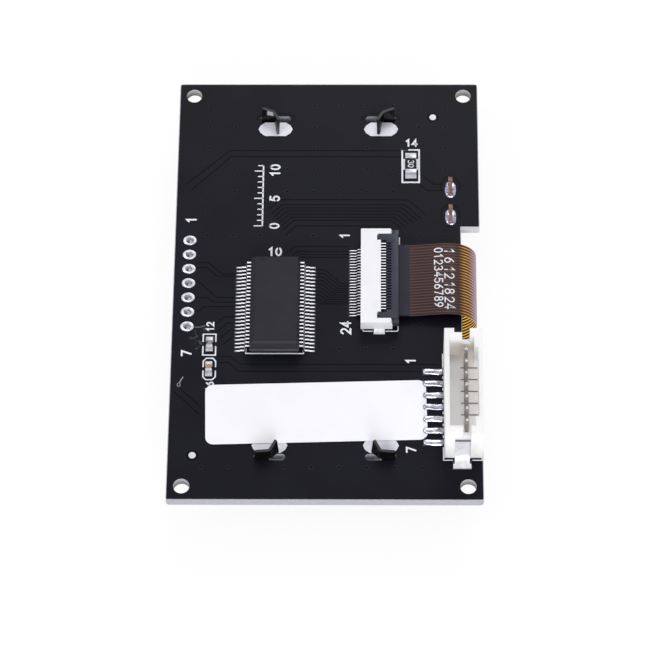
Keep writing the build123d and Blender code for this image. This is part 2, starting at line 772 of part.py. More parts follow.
# The driver chip: gull-wing leads, and a body whose flat band at the parting line carries them
lead_root_z = top + chip_mid_z - lead_t / 2
lead_places = [chip_y + (i - (chip_ways - 1) / 2) * chip_pitch for i in range(chip_ways)]
with BuildPart() as driver_chip_leads:
    with BuildSketch(Plane.XZ.offset(-lead_places[0] - lead_w / 2)):
        for side in (-1, 1):
            underside = [
                (chip_x + side * chip_w / 2, lead_root_z),
                (chip_x + side * (chip_w / 2 + lead_shoulder), lead_root_z),
                (chip_x + side * (chip_span / 2 - lead_foot), top + tin_t),
                (chip_x + side * chip_span / 2, top + tin_t),
            ]
            with BuildLine():
                Polyline(*sorted(underside))
                offset(amount=lead_t, side=Side.LEFT, kind=Kind.INTERSECTION)
            make_face()
    extrude(amount=lead_w)
    first_pair = driver_chip_leads.part
    for place in lead_places[1:]:
        add(Pos(0, place - lead_places[0], 0) * first_pair)

with BuildPart() as driver_chip_body:
    with BuildSketch(Plane.XY.offset(lead_root_z)):
        with Locations((chip_x, chip_y)):
            Rectangle(chip_w, chip_l)
    extrude(amount=lead_t)
    for band_z, face_z in [(lead_root_z + lead_t, top + chip_top_z), (lead_root_z, top + chip_z0)]:
        with BuildSketch(Plane.XY.offset(band_z)):
            with Locations((chip_x, chip_y)):
                Rectangle(chip_w, chip_l)
        with BuildSketch(Plane.XY.offset(face_z)):
            with Locations((chip_x, chip_y)):
                Rectangle(chip_w - 2 * chip_draft, chip_l - 2 * chip_draft)
        loft()
    top_face = driver_chip_body.faces().sort_by(Axis.Z)[-1]
    chamfer(top_face.edges().sort_by(Axis.X)[0], length=chip_bevel)
    with BuildSketch(Plane.XY.offset(top + chip_top_z)):
        with Locations((chip_x - chip_w / 2 + chip_dimple_in, chip_y + chip_l / 2 - chip_dimple_end)):
            Circle(chip_dimple_d / 2)
    extrude(amount=-chip_dimple_z, mode=Mode.SUBTRACT)


# The small chips: a ceramic block, which stands a cap's thickness above its pads, and two end caps.
# Each one's place is (name, x, y, height) and its size is (width, length, cap length).
small_size = (small_chip_w, small_chip_l, small_cap_l)
large_size = (large_chip_w, large_chip_l, large_cap_l)
small_chips = [
    ("resistor_small", small_chip_x, small_resistor_y, small_resistor_h, small_size),
    ("capacitor", small_chip_x, small_capacitor_y, small_capacitor_h, small_size),
    ("resistor_large", large_resistor_x, large_resistor_y, large_chip_h, large_size),
]
for name, x, y, height, (width, length, cap_l) in small_chips:
    with BuildPart() as chip_body:
        with BuildSketch(Plane.XY.offset(top + tin_t + chip_cap_t)):
            with Locations((x, y)):
                Rectangle(width, length)
        extrude(amount=height - 2 * chip_cap_t)
    chip_body.part.label = name + "_body"
    export_step(chip_body.part, "parts/" + name + "_body.step")
    with BuildPart() as chip_ends:
        with BuildSketch(Plane.XY.offset(top + tin_t)):
            with Locations((x, y)):
                with GridLocations(1, length - cap_l, 1, 2):
                    Rectangle(width + 2 * chip_cap_t, cap_l + 2 * chip_cap_t)
        extrude(amount=height)
        add(chip_body.part, mode=Mode.SUBTRACT)
    chip_ends.part.label = name + "_ends"
    export_step(chip_ends.part, "parts/" + name + "_ends.step")

# Tinned pads on the board; the outline of a lock pad is in shares of its half width and half length
lock_pad_quarter = [lock_pad_round, (lock_pad_flat / lock_pad_w, 1)]
lock_pad_half = lock_pad_quarter + [(-u, v) for u, v in reversed(lock_pad_quarter)]
lock_pad_shares = [(1, 0)] + lock_pad_half + [(-1, 0)] + [(-u, -v) for u, v in lock_pad_half]
with BuildPart() as lock_pads:
    for side_x, side_y in tab_sides:
        pad_y = bezel_y + side_y * (wall_y - slot_h / 2 - lock_pad_gap - lock_pad_l / 2)
        with BuildSketch(Plane.XY.offset(top)):
            with BuildLine():
                outline = [
                    (side_x * tab_x + u * lock_pad_w / 2, pad_y + v * lock_pad_l / 2)
                    for u, v in lock_pad_shares
                ]
                Polyline(*outline, close=True)
            make_face()
        extrude(amount=tin_t)

with BuildPart() as row_pads:
    oval = [2 * math.pi * i / row_pad_sides for i in range(row_pad_sides)]
    for face_z in (board_z - tin_t, top):
        with BuildSketch(Plane.XY.offset(face_z)):
            with Locations((row_x, row_y)):
                with GridLocations(1, row_pitch, 1, row_ways):
                    Polygon(*[(row_pad_w / 2 * math.cos(a), row_pad_l / 2 * math.sin(a)) for a in oval])
                    RegularPolygon(row_hole_d / 2, row_pad_sides, major_radius=False, mode=Mode.SUBTRACT)
        extrude(amount=tin_t)

with BuildPart() as chip_pads:
    with BuildSketch(Plane.XY.offset(top)):
        pad_x = chip_span / 2 + chip_pad_reach - chip_pad_l / 2
        with Locations(*[(chip_x + side * pad_x, y) for side in (-1, 1) for y in lead_places]):
            Rectangle(chip_pad_l, chip_pad_w)
    extrude(amount=tin_t)

with BuildPart() as connector_pads:
    with BuildSketch(Plane.XY.offset(top)):
        with Locations(*[((contact_toe_x + contact_heel_x) / 2, y) for y in flex_places]):
            Rectangle(contact_heel_x - contact_toe_x + 2 * fpc_pad_margin, contact_w + fpc_pad_margin / 2)
        with Locations((fpc_tab_x, flex_y)):
            with GridLocations(1, fpc_l + fpc_tab_l, 1, 2):
                Rectangle(fpc_tab_w + fpc_pad_margin, fpc_tab_l + fpc_pad_margin)
        with Locations(*[((header_pad_x0 + header_x0) / 2, y) for y in header_places]):
            Rectangle(header_x0 - header_pad_x0, header_pad_w)
        with Locations((clip_x, header_y)):
            with GridLocations(1, header_l + clip_foot_l, 1, 2):
                Rectangle(clip_foot_w + fpc_pad_margin, clip_foot_l + fpc_pad_margin)
    extrude(amount=tin_t)

with BuildPart() as small_pads:
    with BuildSketch(Plane.XY.offset(top)):
        for y in (small_resistor_y, small_capacitor_y):
            with Locations((small_chip_x, y)):
                with GridLocations(1, small_chip_l, 1, 2):
                    Rectangle(small_pad_w, small_pad_l)
        with Locations((large_resistor_x, large_resistor_y)):
            with GridLocations(1, large_chip_l, 1, 2):
                Rectangle(large_pad_w, large_pad_l)
        with Locations(*dot_places):
            Circle(dot_d / 2)
    extrude(amount=tin_t)

with BuildPart() as blank_label:
    with BuildSketch(Plane.XY.offset(top + tin_t)):
        with Locations(Location((label_x, label_y, 0), (0, 0, label_turn))):
            RectangleRounded(label_w, label_l, label_r)
    extrude(amount=label_t)

pieces = {
    "circuit_board": circuit_board,
    "bezel_frame": bezel_frame,
    "front_polariser": front_polariser,
    "front_glass": front_glass,
    "rear_glass": rear_glass,
    "rear_polariser": rear_polariser,
    "backlight_tray": backlight_tray,
    "diffuser_sheet": diffuser_sheet,
    "light_guide": light_guide,
    "reflector_sheet": reflector_sheet,
    "lamp_strip": lamp_strip,
    "lamp_leads": lamp_leads,
    "lamp_solder": lamp_solder,
    "flex_cable": flex_cable,
    "flex_stiffener": flex_stiffener,
    "flex_connector_housing": flex_connector_housing,
    "flex_connector_contacts": flex_connector_contacts,
    "flex_connector_latch": flex_connector_latch,
    "flex_connector_tabs": flex_connector_tabs,
    "header_housing": header_housing,
    "header_pins": header_pins,
    "header_clips": header_clips,
    "driver_chip_body": driver_chip_body,
    "driver_chip_leads": driver_chip_leads,
    "lock_pads": lock_pads,
    "row_pads": row_pads,
    "chip_pads": chip_pads,
    "connector_pads": connector_pads,
    "small_pads": small_pads,
    "blank_label": blank_label,
}
for name, piece in pieces.items():
    piece.part.label = name
    export_step(piece.part, "parts/" + name + ".step")
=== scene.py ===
"""Dress the display module: finishes, printed ink, copper, solder, light and camera.

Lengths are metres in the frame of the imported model. Sizes written in millimetres are
multiplied by MM where they are used.
"""
from __future__ import annotations

import json
import logging
import math
from dataclasses import dataclass, field
from enum import Enum

import bmesh
import bpy
import numpy as np
from mathutils import Matrix, Vector

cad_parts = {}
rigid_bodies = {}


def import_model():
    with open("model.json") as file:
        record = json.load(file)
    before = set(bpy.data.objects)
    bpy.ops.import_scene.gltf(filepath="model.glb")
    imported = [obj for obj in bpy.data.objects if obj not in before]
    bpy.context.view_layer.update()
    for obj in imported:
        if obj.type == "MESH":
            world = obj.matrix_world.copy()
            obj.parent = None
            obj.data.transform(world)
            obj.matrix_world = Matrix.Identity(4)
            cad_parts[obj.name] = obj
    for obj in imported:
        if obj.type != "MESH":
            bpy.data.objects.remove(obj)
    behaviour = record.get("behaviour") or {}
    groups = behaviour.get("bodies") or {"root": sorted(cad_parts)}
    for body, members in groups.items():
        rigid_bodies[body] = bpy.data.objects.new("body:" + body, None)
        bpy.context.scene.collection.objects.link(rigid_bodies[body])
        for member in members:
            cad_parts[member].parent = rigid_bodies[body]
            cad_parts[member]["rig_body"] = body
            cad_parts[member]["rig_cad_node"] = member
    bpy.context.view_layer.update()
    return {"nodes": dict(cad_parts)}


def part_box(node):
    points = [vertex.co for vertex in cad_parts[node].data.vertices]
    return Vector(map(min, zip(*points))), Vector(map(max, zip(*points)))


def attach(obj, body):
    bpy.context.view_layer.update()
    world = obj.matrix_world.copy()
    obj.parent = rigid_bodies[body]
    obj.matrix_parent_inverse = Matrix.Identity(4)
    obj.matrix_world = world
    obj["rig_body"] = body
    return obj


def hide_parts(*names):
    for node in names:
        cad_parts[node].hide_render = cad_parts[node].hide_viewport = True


log = logging.getLogger("display_module")
MM = 0.001
MODULE = "module"
LATCH = "latch"
CHIP_MIDDLE = (-7.72, -4.37)
CHIP_PITCH = 0.635
BOARD_TOP = 8.9
Pair = tuple[float, float]
Triple = tuple[float, float, float]


class Turn(Enum):
    """Which way printed figures read, as degrees about Z."""

    UPRIGHT = 0.0
    SIDEWAYS = 90.0
    DOWNWARD = -90.0


class Term:
    """A shader socket or a number, which can be used in Python sums."""

    def __init__(self, graph: Graph, value: bpy.types.NodeSocket | float):
        """Keep the graph and the socket or number."""
        self.graph = graph
        self.value = value

    def _math(self, operation: str, *others: Term | float) -> Term:
        """Join this term and others in one Math node."""
        return self.graph.node("ShaderNodeMath", {"operation": operation}, [self, *others])

    def __add__(self, other: Term | float) -> Term:
        """Sum."""
        return self._math("ADD", other)

    __radd__ = __add__

    def __sub__(self, other: Term | float) -> Term:
        """Difference."""
        return self._math("SUBTRACT", other)

    def __rsub__(self, other: Term | float) -> Term:
        """Difference with the number first."""
        return Term(self.graph, other)._math("SUBTRACT", self)

    def __mul__(self, other: Term | float) -> Term:
        """Product."""
        return self._math("MULTIPLY", other)

    __rmul__ = __mul__

    def __pow__(self, other: Term | float) -> Term:
        """Power."""
        return self._math("POWER", other)

    def __gt__(self, other: Term | float) -> Term:
        """1 where this is larger."""
        return self._math("GREATER_THAN", other)

    def __lt__(self, other: Term | float) -> Term:
        """1 where this is smaller."""
        return self._math("LESS_THAN", other)

    def __abs__(self) -> Term:
        """Size without sign."""
        return self._math("ABSOLUTE")

    def least(self, other: Term | float) -> Term:
        """The smaller of two."""
        return self._math("MINIMUM", other)

    def most(self, other: Term | float) -> Term:
        """The larger of two."""
        return self._math("MAXIMUM", other)

    def wrap(self, period: float) -> Term:
        """Remainder in 0 to the period."""
        return self._math("FLOORED_MODULO", period)

    def wave(self) -> Term:
        """Sine of the term in radians."""
        return self._math("SINE")

    def step(self, start: float, end: float) -> Term:
        """0 before start, 1 after end and smooth between."""
        sockets = {"Value": self, "From Min": start, "From Max": end}
        return self.graph.node("ShaderNodeMapRange", {"interpolation_type": "SMOOTHSTEP"}, sockets)


class Graph:
    """The node tree of a material or a world, with its coordinates and its surface shader."""

    def __init__(self, owner: bpy.types.Material | bpy.types.World):
        """Start the owner's node tree anew, with an output alone."""
        owner.use_nodes = True
        kind = "World" if isinstance(owner, bpy.types.World) else "Material"
        self.owner = owner
        self.tree = owner.node_tree
        self.tree.nodes.clear()
        self.output = self.tree.nodes.new("ShaderNodeOutput" + kind)

    def close(self, shader: Term) -> bpy.types.Material | bpy.types.World:
        """Send a shader to the output and give back the owner."""
        self.tree.links.new(shader.value, self.output.inputs["Surface"])
        return self.owner

    def node(self, kind: str, settings: dict | None = None, sockets: dict | list | None = None,
             out: int | str = 0) -> Term:
        """Make any node.

        Args:
            kind: the node's Blender type.
            settings: properties, which are set before the sockets.
            sockets: values or terms, as a list in order or a dict by name or number.
            out: the output that is wanted, by number or name.
        Returns:
            The wanted output as a term.
        """
        made = self.tree.nodes.new(kind)
        for key, value in (settings or {}).items():
            setattr(made, key, value)
        pairs = enumerate(sockets) if isinstance(sockets, list) else (sockets or {}).items()
        for key, value in pairs:
            self._feed(made.inputs[key], value)
        return Term(self, made.outputs[out])

    def _feed(self, socket: bpy.types.NodeSocket, value: Term | tuple | float) -> None:
        """Link a term to a socket or set the socket's own value."""
        if isinstance(value, Term):
            if isinstance(value.value, bpy.types.NodeSocket):
                self.tree.links.new(value.value, socket)
                return
            value = value.value
        if isinstance(value, tuple):
            value = (*value, 1.0)[: len(socket.default_value)]
        socket.default_value = value

    def place(self) -> tuple[Term, Term, Term]:
        """The object coordinates, in millimetres."""
        vector = self.node("ShaderNodeTexCoord", out="Object")
        parts = [self.node("ShaderNodeSeparateXYZ", sockets=[vector], out=i) for i in range(3)]
        return tuple(part * (1 / MM) for part in parts)

    def noise(self, scale: float, detail: float = 2.0, rough: float = 0.5,
              stretch: Triple = (1.0, 1.0, 1.0)) -> Term:
        """Cloud noise of 0 to 1.

        Args:
            scale: cells per millimetre.
            detail: how many finer layers it has.
            rough: how strong those are.
            stretch: factors along X, Y and Z.
        Returns:
            The noise as a term.
        """
        vector = self.node("ShaderNodeTexCoord", out="Object")
        vector = self.node("ShaderNodeMapping", sockets={"Vector": vector, "Scale": stretch})
        sockets = {"Vector": vector, "Scale": scale / MM, "Detail": detail, "Roughness": rough}
        return self.node("ShaderNodeTexNoise", {}, sockets, "Fac")

    def mix(self, factor: Term | float, first: Term | tuple, second: Term | tuple) -> Term:
        """Blend two colours."""
        return self.node("ShaderNodeMix", {"data_type": "RGBA"}, {0: factor, 6: first, 7: second}, 2)

    def bump(self, height: Term, distance: float) -> Term:
        """A normal from a height, whose full step is distance millimetres."""
        return self.node("ShaderNodeBump", {}, {"Height": height, "Distance": distance * MM, "Strength": 1.0})

    def surface(self, **inputs: Term | tuple | float) -> bpy.types.Material:
        """Close the material with one Principled shader; underscores stand for spaces."""
        sockets = {key.replace("_", " "): value for key, value in inputs.items()}
        return self.close(self.node("ShaderNodeBsdfPrincipled", {}, sockets))


def scaled(colour: Triple, factor: float) -> tuple[float, ...]:
    """A colour made lighter or darker by a factor."""
    return tuple(factor * part for part in colour)


class Finish:
    """A named finish, whose material is made once and then shared."""

    name: str

    def build(self, graph: Graph) -> bpy.types.Material:
        """Fill the graph; each finish does this in its own way."""
        raise NotImplementedError

    def tone(self, graph: Graph, base: Term) -> Term:
        """The base colour; some finishes shade it by place."""
        return base

    def material(self) -> bpy.types.Material:
        """The finish's material, under a name that no loaded material has."""
        title = "finish " + self.name
        return bpy.data.materials.get(title) or self.build(Graph(bpy.data.materials.new(title)))


@dataclass(frozen=True)
class Metal(Finish):
    """Tinned, soldered or bare metal with fine waviness.

    Attributes:
        colour: the reflected colour.
        rough: mean roughness.
        grain: height of the waviness in millimetres.
        scale: waves per millimetre.
        shade: how dark its darker patches are, as a share of the colour. The patches fall at random and
            partly stand in for painted reflections of darker surroundings.
        metallic: below 1 where the tin is dull and scatters light.
        stretch: factors on the waves along X, Y and Z.
    """

    name: str
    colour: Triple
    rough: float = 0.3
    grain: float = 0.004
    scale: float = 3.0
    shade: float = 0.75
    metallic: float = 1.0
    stretch: Triple = (1.0, 1.0, 1.0)

    def build(self, graph: Graph) -> bpy.types.Material:
        """Metal whose tone, roughness and height follow two noises."""
        coarse = graph.noise(self.scale, 2.0, 0.5, self.stretch)
        fine = graph.noise(self.scale * 5, 3.0, 0.5, self.stretch)
        # darker patches at random: partly varied tin, partly painted reflection of darker surroundings
        base = graph.mix(coarse.step(0.42, 0.60), self.colour, scaled(self.colour, self.shade))
        return graph.surface(
            Base_Color=self.tone(graph, base),
            Metallic=self.metallic,
            Roughness=self.rough + (fine - 0.5) * 0.16,
            Normal=graph.bump(coarse + fine * 0.3, self.grain),
        )


@dataclass(frozen=True)
class RowTin(Metal):
    """A row of leads or contacts: bright along their middle lines, with painted shade at their sides.

    Attributes:
        middle: the row's middle in Y, in millimetres.
        pitch: distance from one to the next.
        core: distances from the middle line where the painted shade begins and is full.
        dark: the colour of the painted shade at the sides.
    """

    middle: float = 0.17
    pitch: float = 0.5
    core: Pair = (0.045, 0.09)
    dark: Triple = (0.030, 0.030, 0.040)

    def tone(self, graph: Graph, base: Term) -> Term:
        """Painted shade: dark where a point is away from its contact's middle line."""
        _, y, _ = graph.place()
        away = abs((y - self.middle).wrap(self.pitch) - self.pitch / 2)
        # painted shade at the sides of each lead or contact
        return graph.mix(away.step(*self.core), base, self.dark)


@dataclass(frozen=True)
class Moulding(Finish):
    """Moulded plastic or epoxy.

    Attributes:
        colour: the surface colour.
        shade: the colour of its slightly darker patches.
        rough: mean roughness.
        grain: height of the mould's texture in millimetres.
        scale: texture cells per millimetre.
        gloss: specular level.
        depth: how far light spreads below the surface, in millimetres; 0 for none.
    """

    name: str
    colour: Triple
    shade: Triple
    rough: float = 0.45
    grain: float = 0.003
    scale: float = 6.0
    gloss: float = 0.4
    depth: float = 0.0

    def build(self, graph: Graph) -> bpy.types.Material:
        """Plastic with soft blotches and a fine mould texture."""
        blotch = graph.noise(0.25, 2.0)
        grain = graph.noise(self.scale, 3.0, 0.6)
        return graph.surface(
            Base_Color=self.tone(graph, graph.mix(blotch.step(0.4, 0.7), self.colour, self.shade)),
            Roughness=self.rough + (grain - 0.5) * 0.12,
            Specular_IOR_Level=self.gloss,
            Subsurface_Weight=0.7 if self.depth else 0.0,
            Subsurface_Radius=(1.0, 0.94, 0.9),
            Subsurface_Scale=self.depth * MM,
            Normal=graph.bump(grain, self.grain),
            **self.glow(graph),
        )

    def glow(self, graph: Graph) -> dict:
        """The shader's emission inputs, none for a plain plastic."""
        return {}


@dataclass(frozen=True)
class Shroud(Moulding):
    """The header's plastic, with painted light: emission on its floor stands in for light through its walls,
    and a warmer, darker painted shade lies at the foot of its far wall.

    Attributes:
        inside: the hollow's first and last Y, in millimetres.
        across: its first and last X.
        reach: how far the painted shade comes from the far wall.
        fade: X where the light from the right wall ends and where it is full.
        low: heights where that light is full and where it ends.
        high: heights where the far end's painted shade is full and where it ends.
        light: the colour of the light.
        warm: the colour of the painted shade at the foot of the far wall.
    """

    inside: Pair = (-28.75, -13.75)
    across: Pair = (18.0, 22.7)
    reach: float = 1.9
    fade: Pair = (17.35, 22.4)
    low: Pair = (11.4, 13.6)
    high: Pair = (14.6, 16.4)
    light: Triple = (0.195, 0.183, 0.173)
    warm: Triple = (0.60, 0.55, 0.50)

    def tone(self, graph: Graph, base: Term) -> Term:
        """Painted shade: a warmer, darker colour at the foot of the far wall."""
        x, y, z = graph.place()
        far = self.inside[1]
        left, right = self.across
        depth = 1.0 - z.step(*self.high)
        # painted shade at the foot of the far wall, deep in the hollow
        share = y.step(far - self.reach, far - 0.1) * (y < far) * depth * (x > left) * (x < right)
        return graph.mix(share * 0.75, base, self.warm)

    def glow(self, graph: Graph) -> dict:
        """Light on the floor, from the right."""
        x, y, z = graph.place()
        near, far = self.inside
        # painted light: emission on the floor near the right wall
        share = x.step(*self.fade) * (1.0 - z.step(*self.low)) * (y > near) * (y < far)
        return {"Emission_Color": graph.mix(share, (0.0, 0.0, 0.0), self.light), "Emission_Strength": 1.0}


@dataclass(frozen=True)
class PaintedSteel(Moulding):
    """The bezel's black paint, with a painted highlight on the lock tabs' upper edges and a painted
    reflection on the far left tab's flag.

    Attributes:
        top: height of the lock tabs' upper edges, in millimetres.
        worn: colour of the painted highlight on the edges.
        flag: first and last X of the painted reflection on the flag.
        back: Y behind which that flag stands.
        foot: the painted reflection's lowest height.
        sheen: the painted reflection's colour.
        ease: half the width of its soft border.
    """

    top: float = 10.8
    worn: Triple = (0.048, 0.048, 0.056)
    flag: Pair = (-9.5, -8.5)
    back: float = 27.0
    foot: float = 9.95
    sheen: Triple = (0.42, 0.42, 0.47)
    ease: float = 0.12

    def tone(self, graph: Graph, base: Term) -> Term:
        """Painted highlights on the upper edges and a painted reflection on the flag."""
        x, y, z = graph.place()
        left, right = self.flag
        ease = self.ease
        across = x.step(left - ease, left + ease) * (1.0 - x.step(right - ease, right + ease))
        patch = across * z.step(self.foot - ease, self.foot + ease) * (y > self.back)
        rim = self.top - 0.03
        # painted highlight along the lock tabs' upper edges
        base = graph.mix((z > rim) * 0.8, base, self.worn)
        # painted reflection on the far left tab's flag
        return graph.mix(patch * (z < rim), base, self.sheen)


@dataclass(frozen=True)
class ChipEpoxy(Moulding):
    """The chip's epoxy, with painted light: its near face is painted a little paler, and a painted highlight
    runs along its near edge.

    Attributes:
        near: Y of the top face's near edge, in millimetres.
        pale: colour of the near face, painted paler as a lit side.
        edge: colour of the painted highlight along the near edge.
    """

    near: float = -11.6
    pale: Triple = (0.027, 0.027, 0.035)
    edge: Triple = (0.050, 0.050, 0.060)

    def tone(self, graph: Graph, base: Term) -> Term:
        """Painted light: paler before the near edge, and a thin painted highlight along it."""
        _, y, _ = graph.place()
        # painted light: the near face paler
        base = graph.mix(1.0 - y.step(self.near - 0.06, self.near), base, self.pale)
        # painted highlight along the near edge
        return graph.mix((1.0 - abs(y - self.near).step(0.03, 0.12)) * 0.6, base, self.edge)


@dataclass(frozen=True)
class SolderMask(Finish):
    """The board: black mask above and below, pale laminate at its cut edges.

    Attributes:
        low: height of the board's underside in millimetres.
        high: height of its upper side.
        half: half its width and half its length.
        notch: the notch's inner side, middle and half length.
        bolts: X and Y of the corner holes.
        bolt_reach: distance from a hole's middle that takes in its wall.
        rim: how far the mask stays back from the edge.
        colour: the mask's darker tone.
        laminate: the cut edge's paler tone.
        layers: the dark and pale tones on the holes' walls, mixed by the laminate's layers and by painted
            shade that darkens the walls lower in the hole.
        cut: a paler tone painted on the notch's wall at its ends, as painted light.
        dust: tone of the specks.
        flux: tone of the dried flux.
        flux_middle: X and Y of the flux's oval.
        flux_share: factors on the distances from there, which make it an oval.
        streak_x: the flux streak's first and last X.
        streak_y: its Y.
    """

    name: str
    low: float
    high: float
    half: Pair
    notch: Triple
    bolts: Pair = (21.0, 34.5)
    bolt_reach: float = 1.4
    rim: float = 0.11
    colour: Triple = (0.0056, 0.0058, 0.0096)
    laminate: Triple = (0.455, 0.455, 0.525)
    layers: tuple = ((0.27, 0.27, 0.27), (0.56, 0.56, 0.58))
    cut: Triple = (0.68, 0.68, 0.73)
    dust: Triple = (0.35, 0.35, 0.4)
    flux: Triple = (0.33, 0.33, 0.36)
    flux_middle: Pair = (-18.6, -9.8)
    flux_share: Pair = (0.55, 0.5)
    streak_x: Pair = (-19.8, -18.2)
    streak_y: float = -7.75

    def build(self, graph: Graph) -> bpy.types.Material:
        """Mask where a face is level and away from the edges, laminate elsewhere."""
        x, y, z = graph.place()
        level = abs(z - (self.high + self.low) / 2) > (self.high - self.low) / 2 - 0.004
        edge = (self.half[0] - abs(x)).least(self.half[1] - abs(y))
        side, middle, reach = self.notch
        notch = (side - x).most(abs(y - middle) - reach)
        cover = level * (edge.least(notch) > self.rim)
        cloud = graph.noise(0.12, 3.0)
        speck = graph.noise(2.2, 4.0, 0.7)
        mask = graph.mix(cloud.step(0.3, 0.7), self.colour, scaled(self.colour, 1.35))
        mask = graph.mix(speck.step(0.66, 0.78) * 0.05, mask, self.dust)
        mask = graph.mix(self.residue(graph, x, y) * level, mask, self.flux)
        # painted light: the notch's end wall painted paler than the laminate
        wall = (x > side) * (abs(y - middle - reach) < 0.2)
        core = graph.mix(wall, self.core(graph), self.cut)
        return graph.surface(
            Base_Color=graph.mix(cover, core, mask),
            Roughness=0.75 - cover * (0.41 - cloud * 0.08),
            Specular_IOR_Level=0.07,
            Normal=graph.bump(graph.noise(0.6, 2.0) + speck * 0.2, 0.006),
        )

    def core(self, graph: Graph) -> Term:
        """The cut laminate, with its layers on the walls of the corner holes and painted shade lower on those
        walls.
        """
        x, y, z = graph.place()
        fibre = graph.noise(1.6, 3.0, 0.6, (1.0, 1.0, 6.0))
        core = graph.mix(fibre.step(0.35, 0.75), self.laminate, scaled(self.laminate, 0.8))
        away = ((abs(x) - self.bolts[0]) ** 2.0 + (abs(y) - self.bolts[1]) ** 2.0) ** 0.5
        # the waves draw the layers; the step paints the walls paler near the top, as painted shade lower in
        # the hole
        depth = (z * 13.0 + fibre * 1.5).wave() * 0.5 + z.step(self.low + 0.3, self.high)
        return graph.mix(away < self.bolt_reach, core, graph.mix(depth, *self.layers))

    def residue(self, graph: Graph, x: Term, y: Term) -> Term:
        """Dried flux beside the small resistor: patches of noise inside an oval, and one thin streak."""
        across = (x - self.flux_middle[0]) * self.flux_share[0]
        along = (y - self.flux_middle[1]) * self.flux_share[1]
        away = across ** 2.0 + along ** 2.0
        patch = (1.0 - away.step(0.3, 1.6)) * graph.noise(1.5, 4.0, 0.75).step(0.50, 0.72)
        start, end = self.streak_x
        sway = graph.noise(0.7, 2.0) * 0.7 + (x - (start + end) / 2) * 0.12
        streak = 1.0 - abs(y - self.streak_y - sway).step(0.03, 0.11)
        return (patch * 0.40).most(streak * (x > start) * (x < end) * 0.5)


@dataclass(frozen=True)
class Groove(Finish):
    """The gaps beside covered copper, which look darker than the mask round them."""

    name: str
    colour: Triple = (0.0022, 0.0022, 0.0036)

    def build(self, graph: Graph) -> bpy.types.Material:
        """A dark gloss that varies a little along its way."""
        tone = graph.noise(0.6, 2.0)
        return graph.surface(
            Base_Color=graph.mix(tone, self.colour, scaled(self.colour, 1.6)),
            Roughness=0.30 + tone * 0.08,
            Specular_IOR_Level=0.04,
            Normal=graph.bump(tone, 0.002),
        )


@dataclass(frozen=True)
class AmberFilm(Finish):
    """The flexible cable: dark copper lines under amber film.

    Attributes:
        middle: the row's middle in Y, in millimetres.
        pitch: distance from line to line.
        edge: from this X on, the board no longer lies behind the film.
        start: where the stiffening film ends.
        bend: the bend's middle line: its furthest X, its lowest and highest Z, and the
        radii of its lower and upper half. Inside it painted light (emission) stands in for light through the
        film.
        film: colour of the film between the lines, over the board.
        line: colour of the copper lines, over the board.
        gold: painted light, the colour of the film where light comes through it past the board's edge.
        brown: painted light, the colour of the copper lines there.
        hazy: how far past the edge the pale painted sheen begins and is full; it stands in for the reflection
            at the bend.
        haze: the film's and the lines' colours in that painted sheen.
        through: colour of the painted light (emission) that stands in for light through the film inside the
            bend.
    """

    name: str
    middle: float
    pitch: float
    edge: float
    start: float
    bend: tuple[float, float, float, float, float]
    film: Triple = (0.104, 0.034, 0.019)
    line: Triple = (0.018, 0.0135, 0.019)
    gold: Triple = (0.68, 0.34, 0.050)
    brown: Triple = (0.055, 0.018, 0.016)
    hazy: Pair = (0.9, 2.3)
    haze: tuple = ((0.60, 0.47, 0.62), (0.30, 0.21, 0.30))
    through: Triple = (1.0, 0.60, 0.11)

    def build(self, graph: Graph) -> bpy.types.Material:
        """Lines of copper repeated across Y, with painted light past the board's edge, a painted sheen
        further out and painted glow in the bend.
        """
        x, y, z = graph.place()
        across = abs((y - self.middle).wrap(self.pitch) - self.pitch / 2)
        copper = across.step(self.pitch * 0.12, self.pitch * 0.24)
        # painted light: film and lines turn gold and brown past the board's edge
        lit = x.step(self.edge - 0.6, self.edge + 0.6)
        # painted sheen: paler lavender further out, standing in for the reflection at the bend
        pale = x.step(*(self.edge + start for start in self.hazy)) * 0.75
        film = graph.mix(pale, graph.mix(lit, self.film, self.gold), self.haze[0])
        line = graph.mix(pale, graph.mix(lit, self.line, self.brown), self.haze[1])
        under = 1.0 - x.step(self.start - 0.05, self.start + 0.05)
        # painted light: emission inside the bend, between the copper lines
        inside = self.within(x, z) * lit
        return graph.surface(
            Base_Color=graph.mix(under, graph.mix(copper, film, line), self.line),
            Roughness=0.30 + graph.noise(2.0, 2.0) * 0.1,
            Specular_IOR_Level=0.20,
            Emission_Color=graph.mix(inside * (1.0 - copper), (0.0, 0.0, 0.0), self.through),
            Emission_Strength=0.75,
            Normal=graph.bump(copper, 0.012),
        )

    def within(self, x: Term, z: Term) -> Term:
        """1 inside the bend's middle line, which is a circle's arc at its lower and at its upper half."""
        reach, low, high, low_r, high_r = self.bend
        foot, head = low + low_r, high - high_r
        upper = z.step(foot, head)
        radius = low_r + upper * (high_r - low_r)
        away = ((x - reach + radius) ** 2.0 + (z - foot - upper * (head - foot)) ** 2.0) ** 0.5
        return 1.0 - (away - radius).step(-0.03, 0.0)


@dataclass(frozen=True)
class ClearSheet(Finish):
    """Glass or clear plastic, tinted a little."""

    name: str
    colour: Triple
    alpha: float = 0.5

    def build(self, graph: Graph) -> bpy.types.Material:
        """A glossy, partly see-through sheet with a faint waviness."""
        wave = graph.noise(0.3, 2.0)
        return graph.surface(
            Base_Color=graph.mix(wave, self.colour, scaled(self.colour, 0.92)),
            Roughness=0.06 + wave * 0.04,
            Alpha=self.alpha,
            Normal=graph.bump(wave, 0.002),
        )


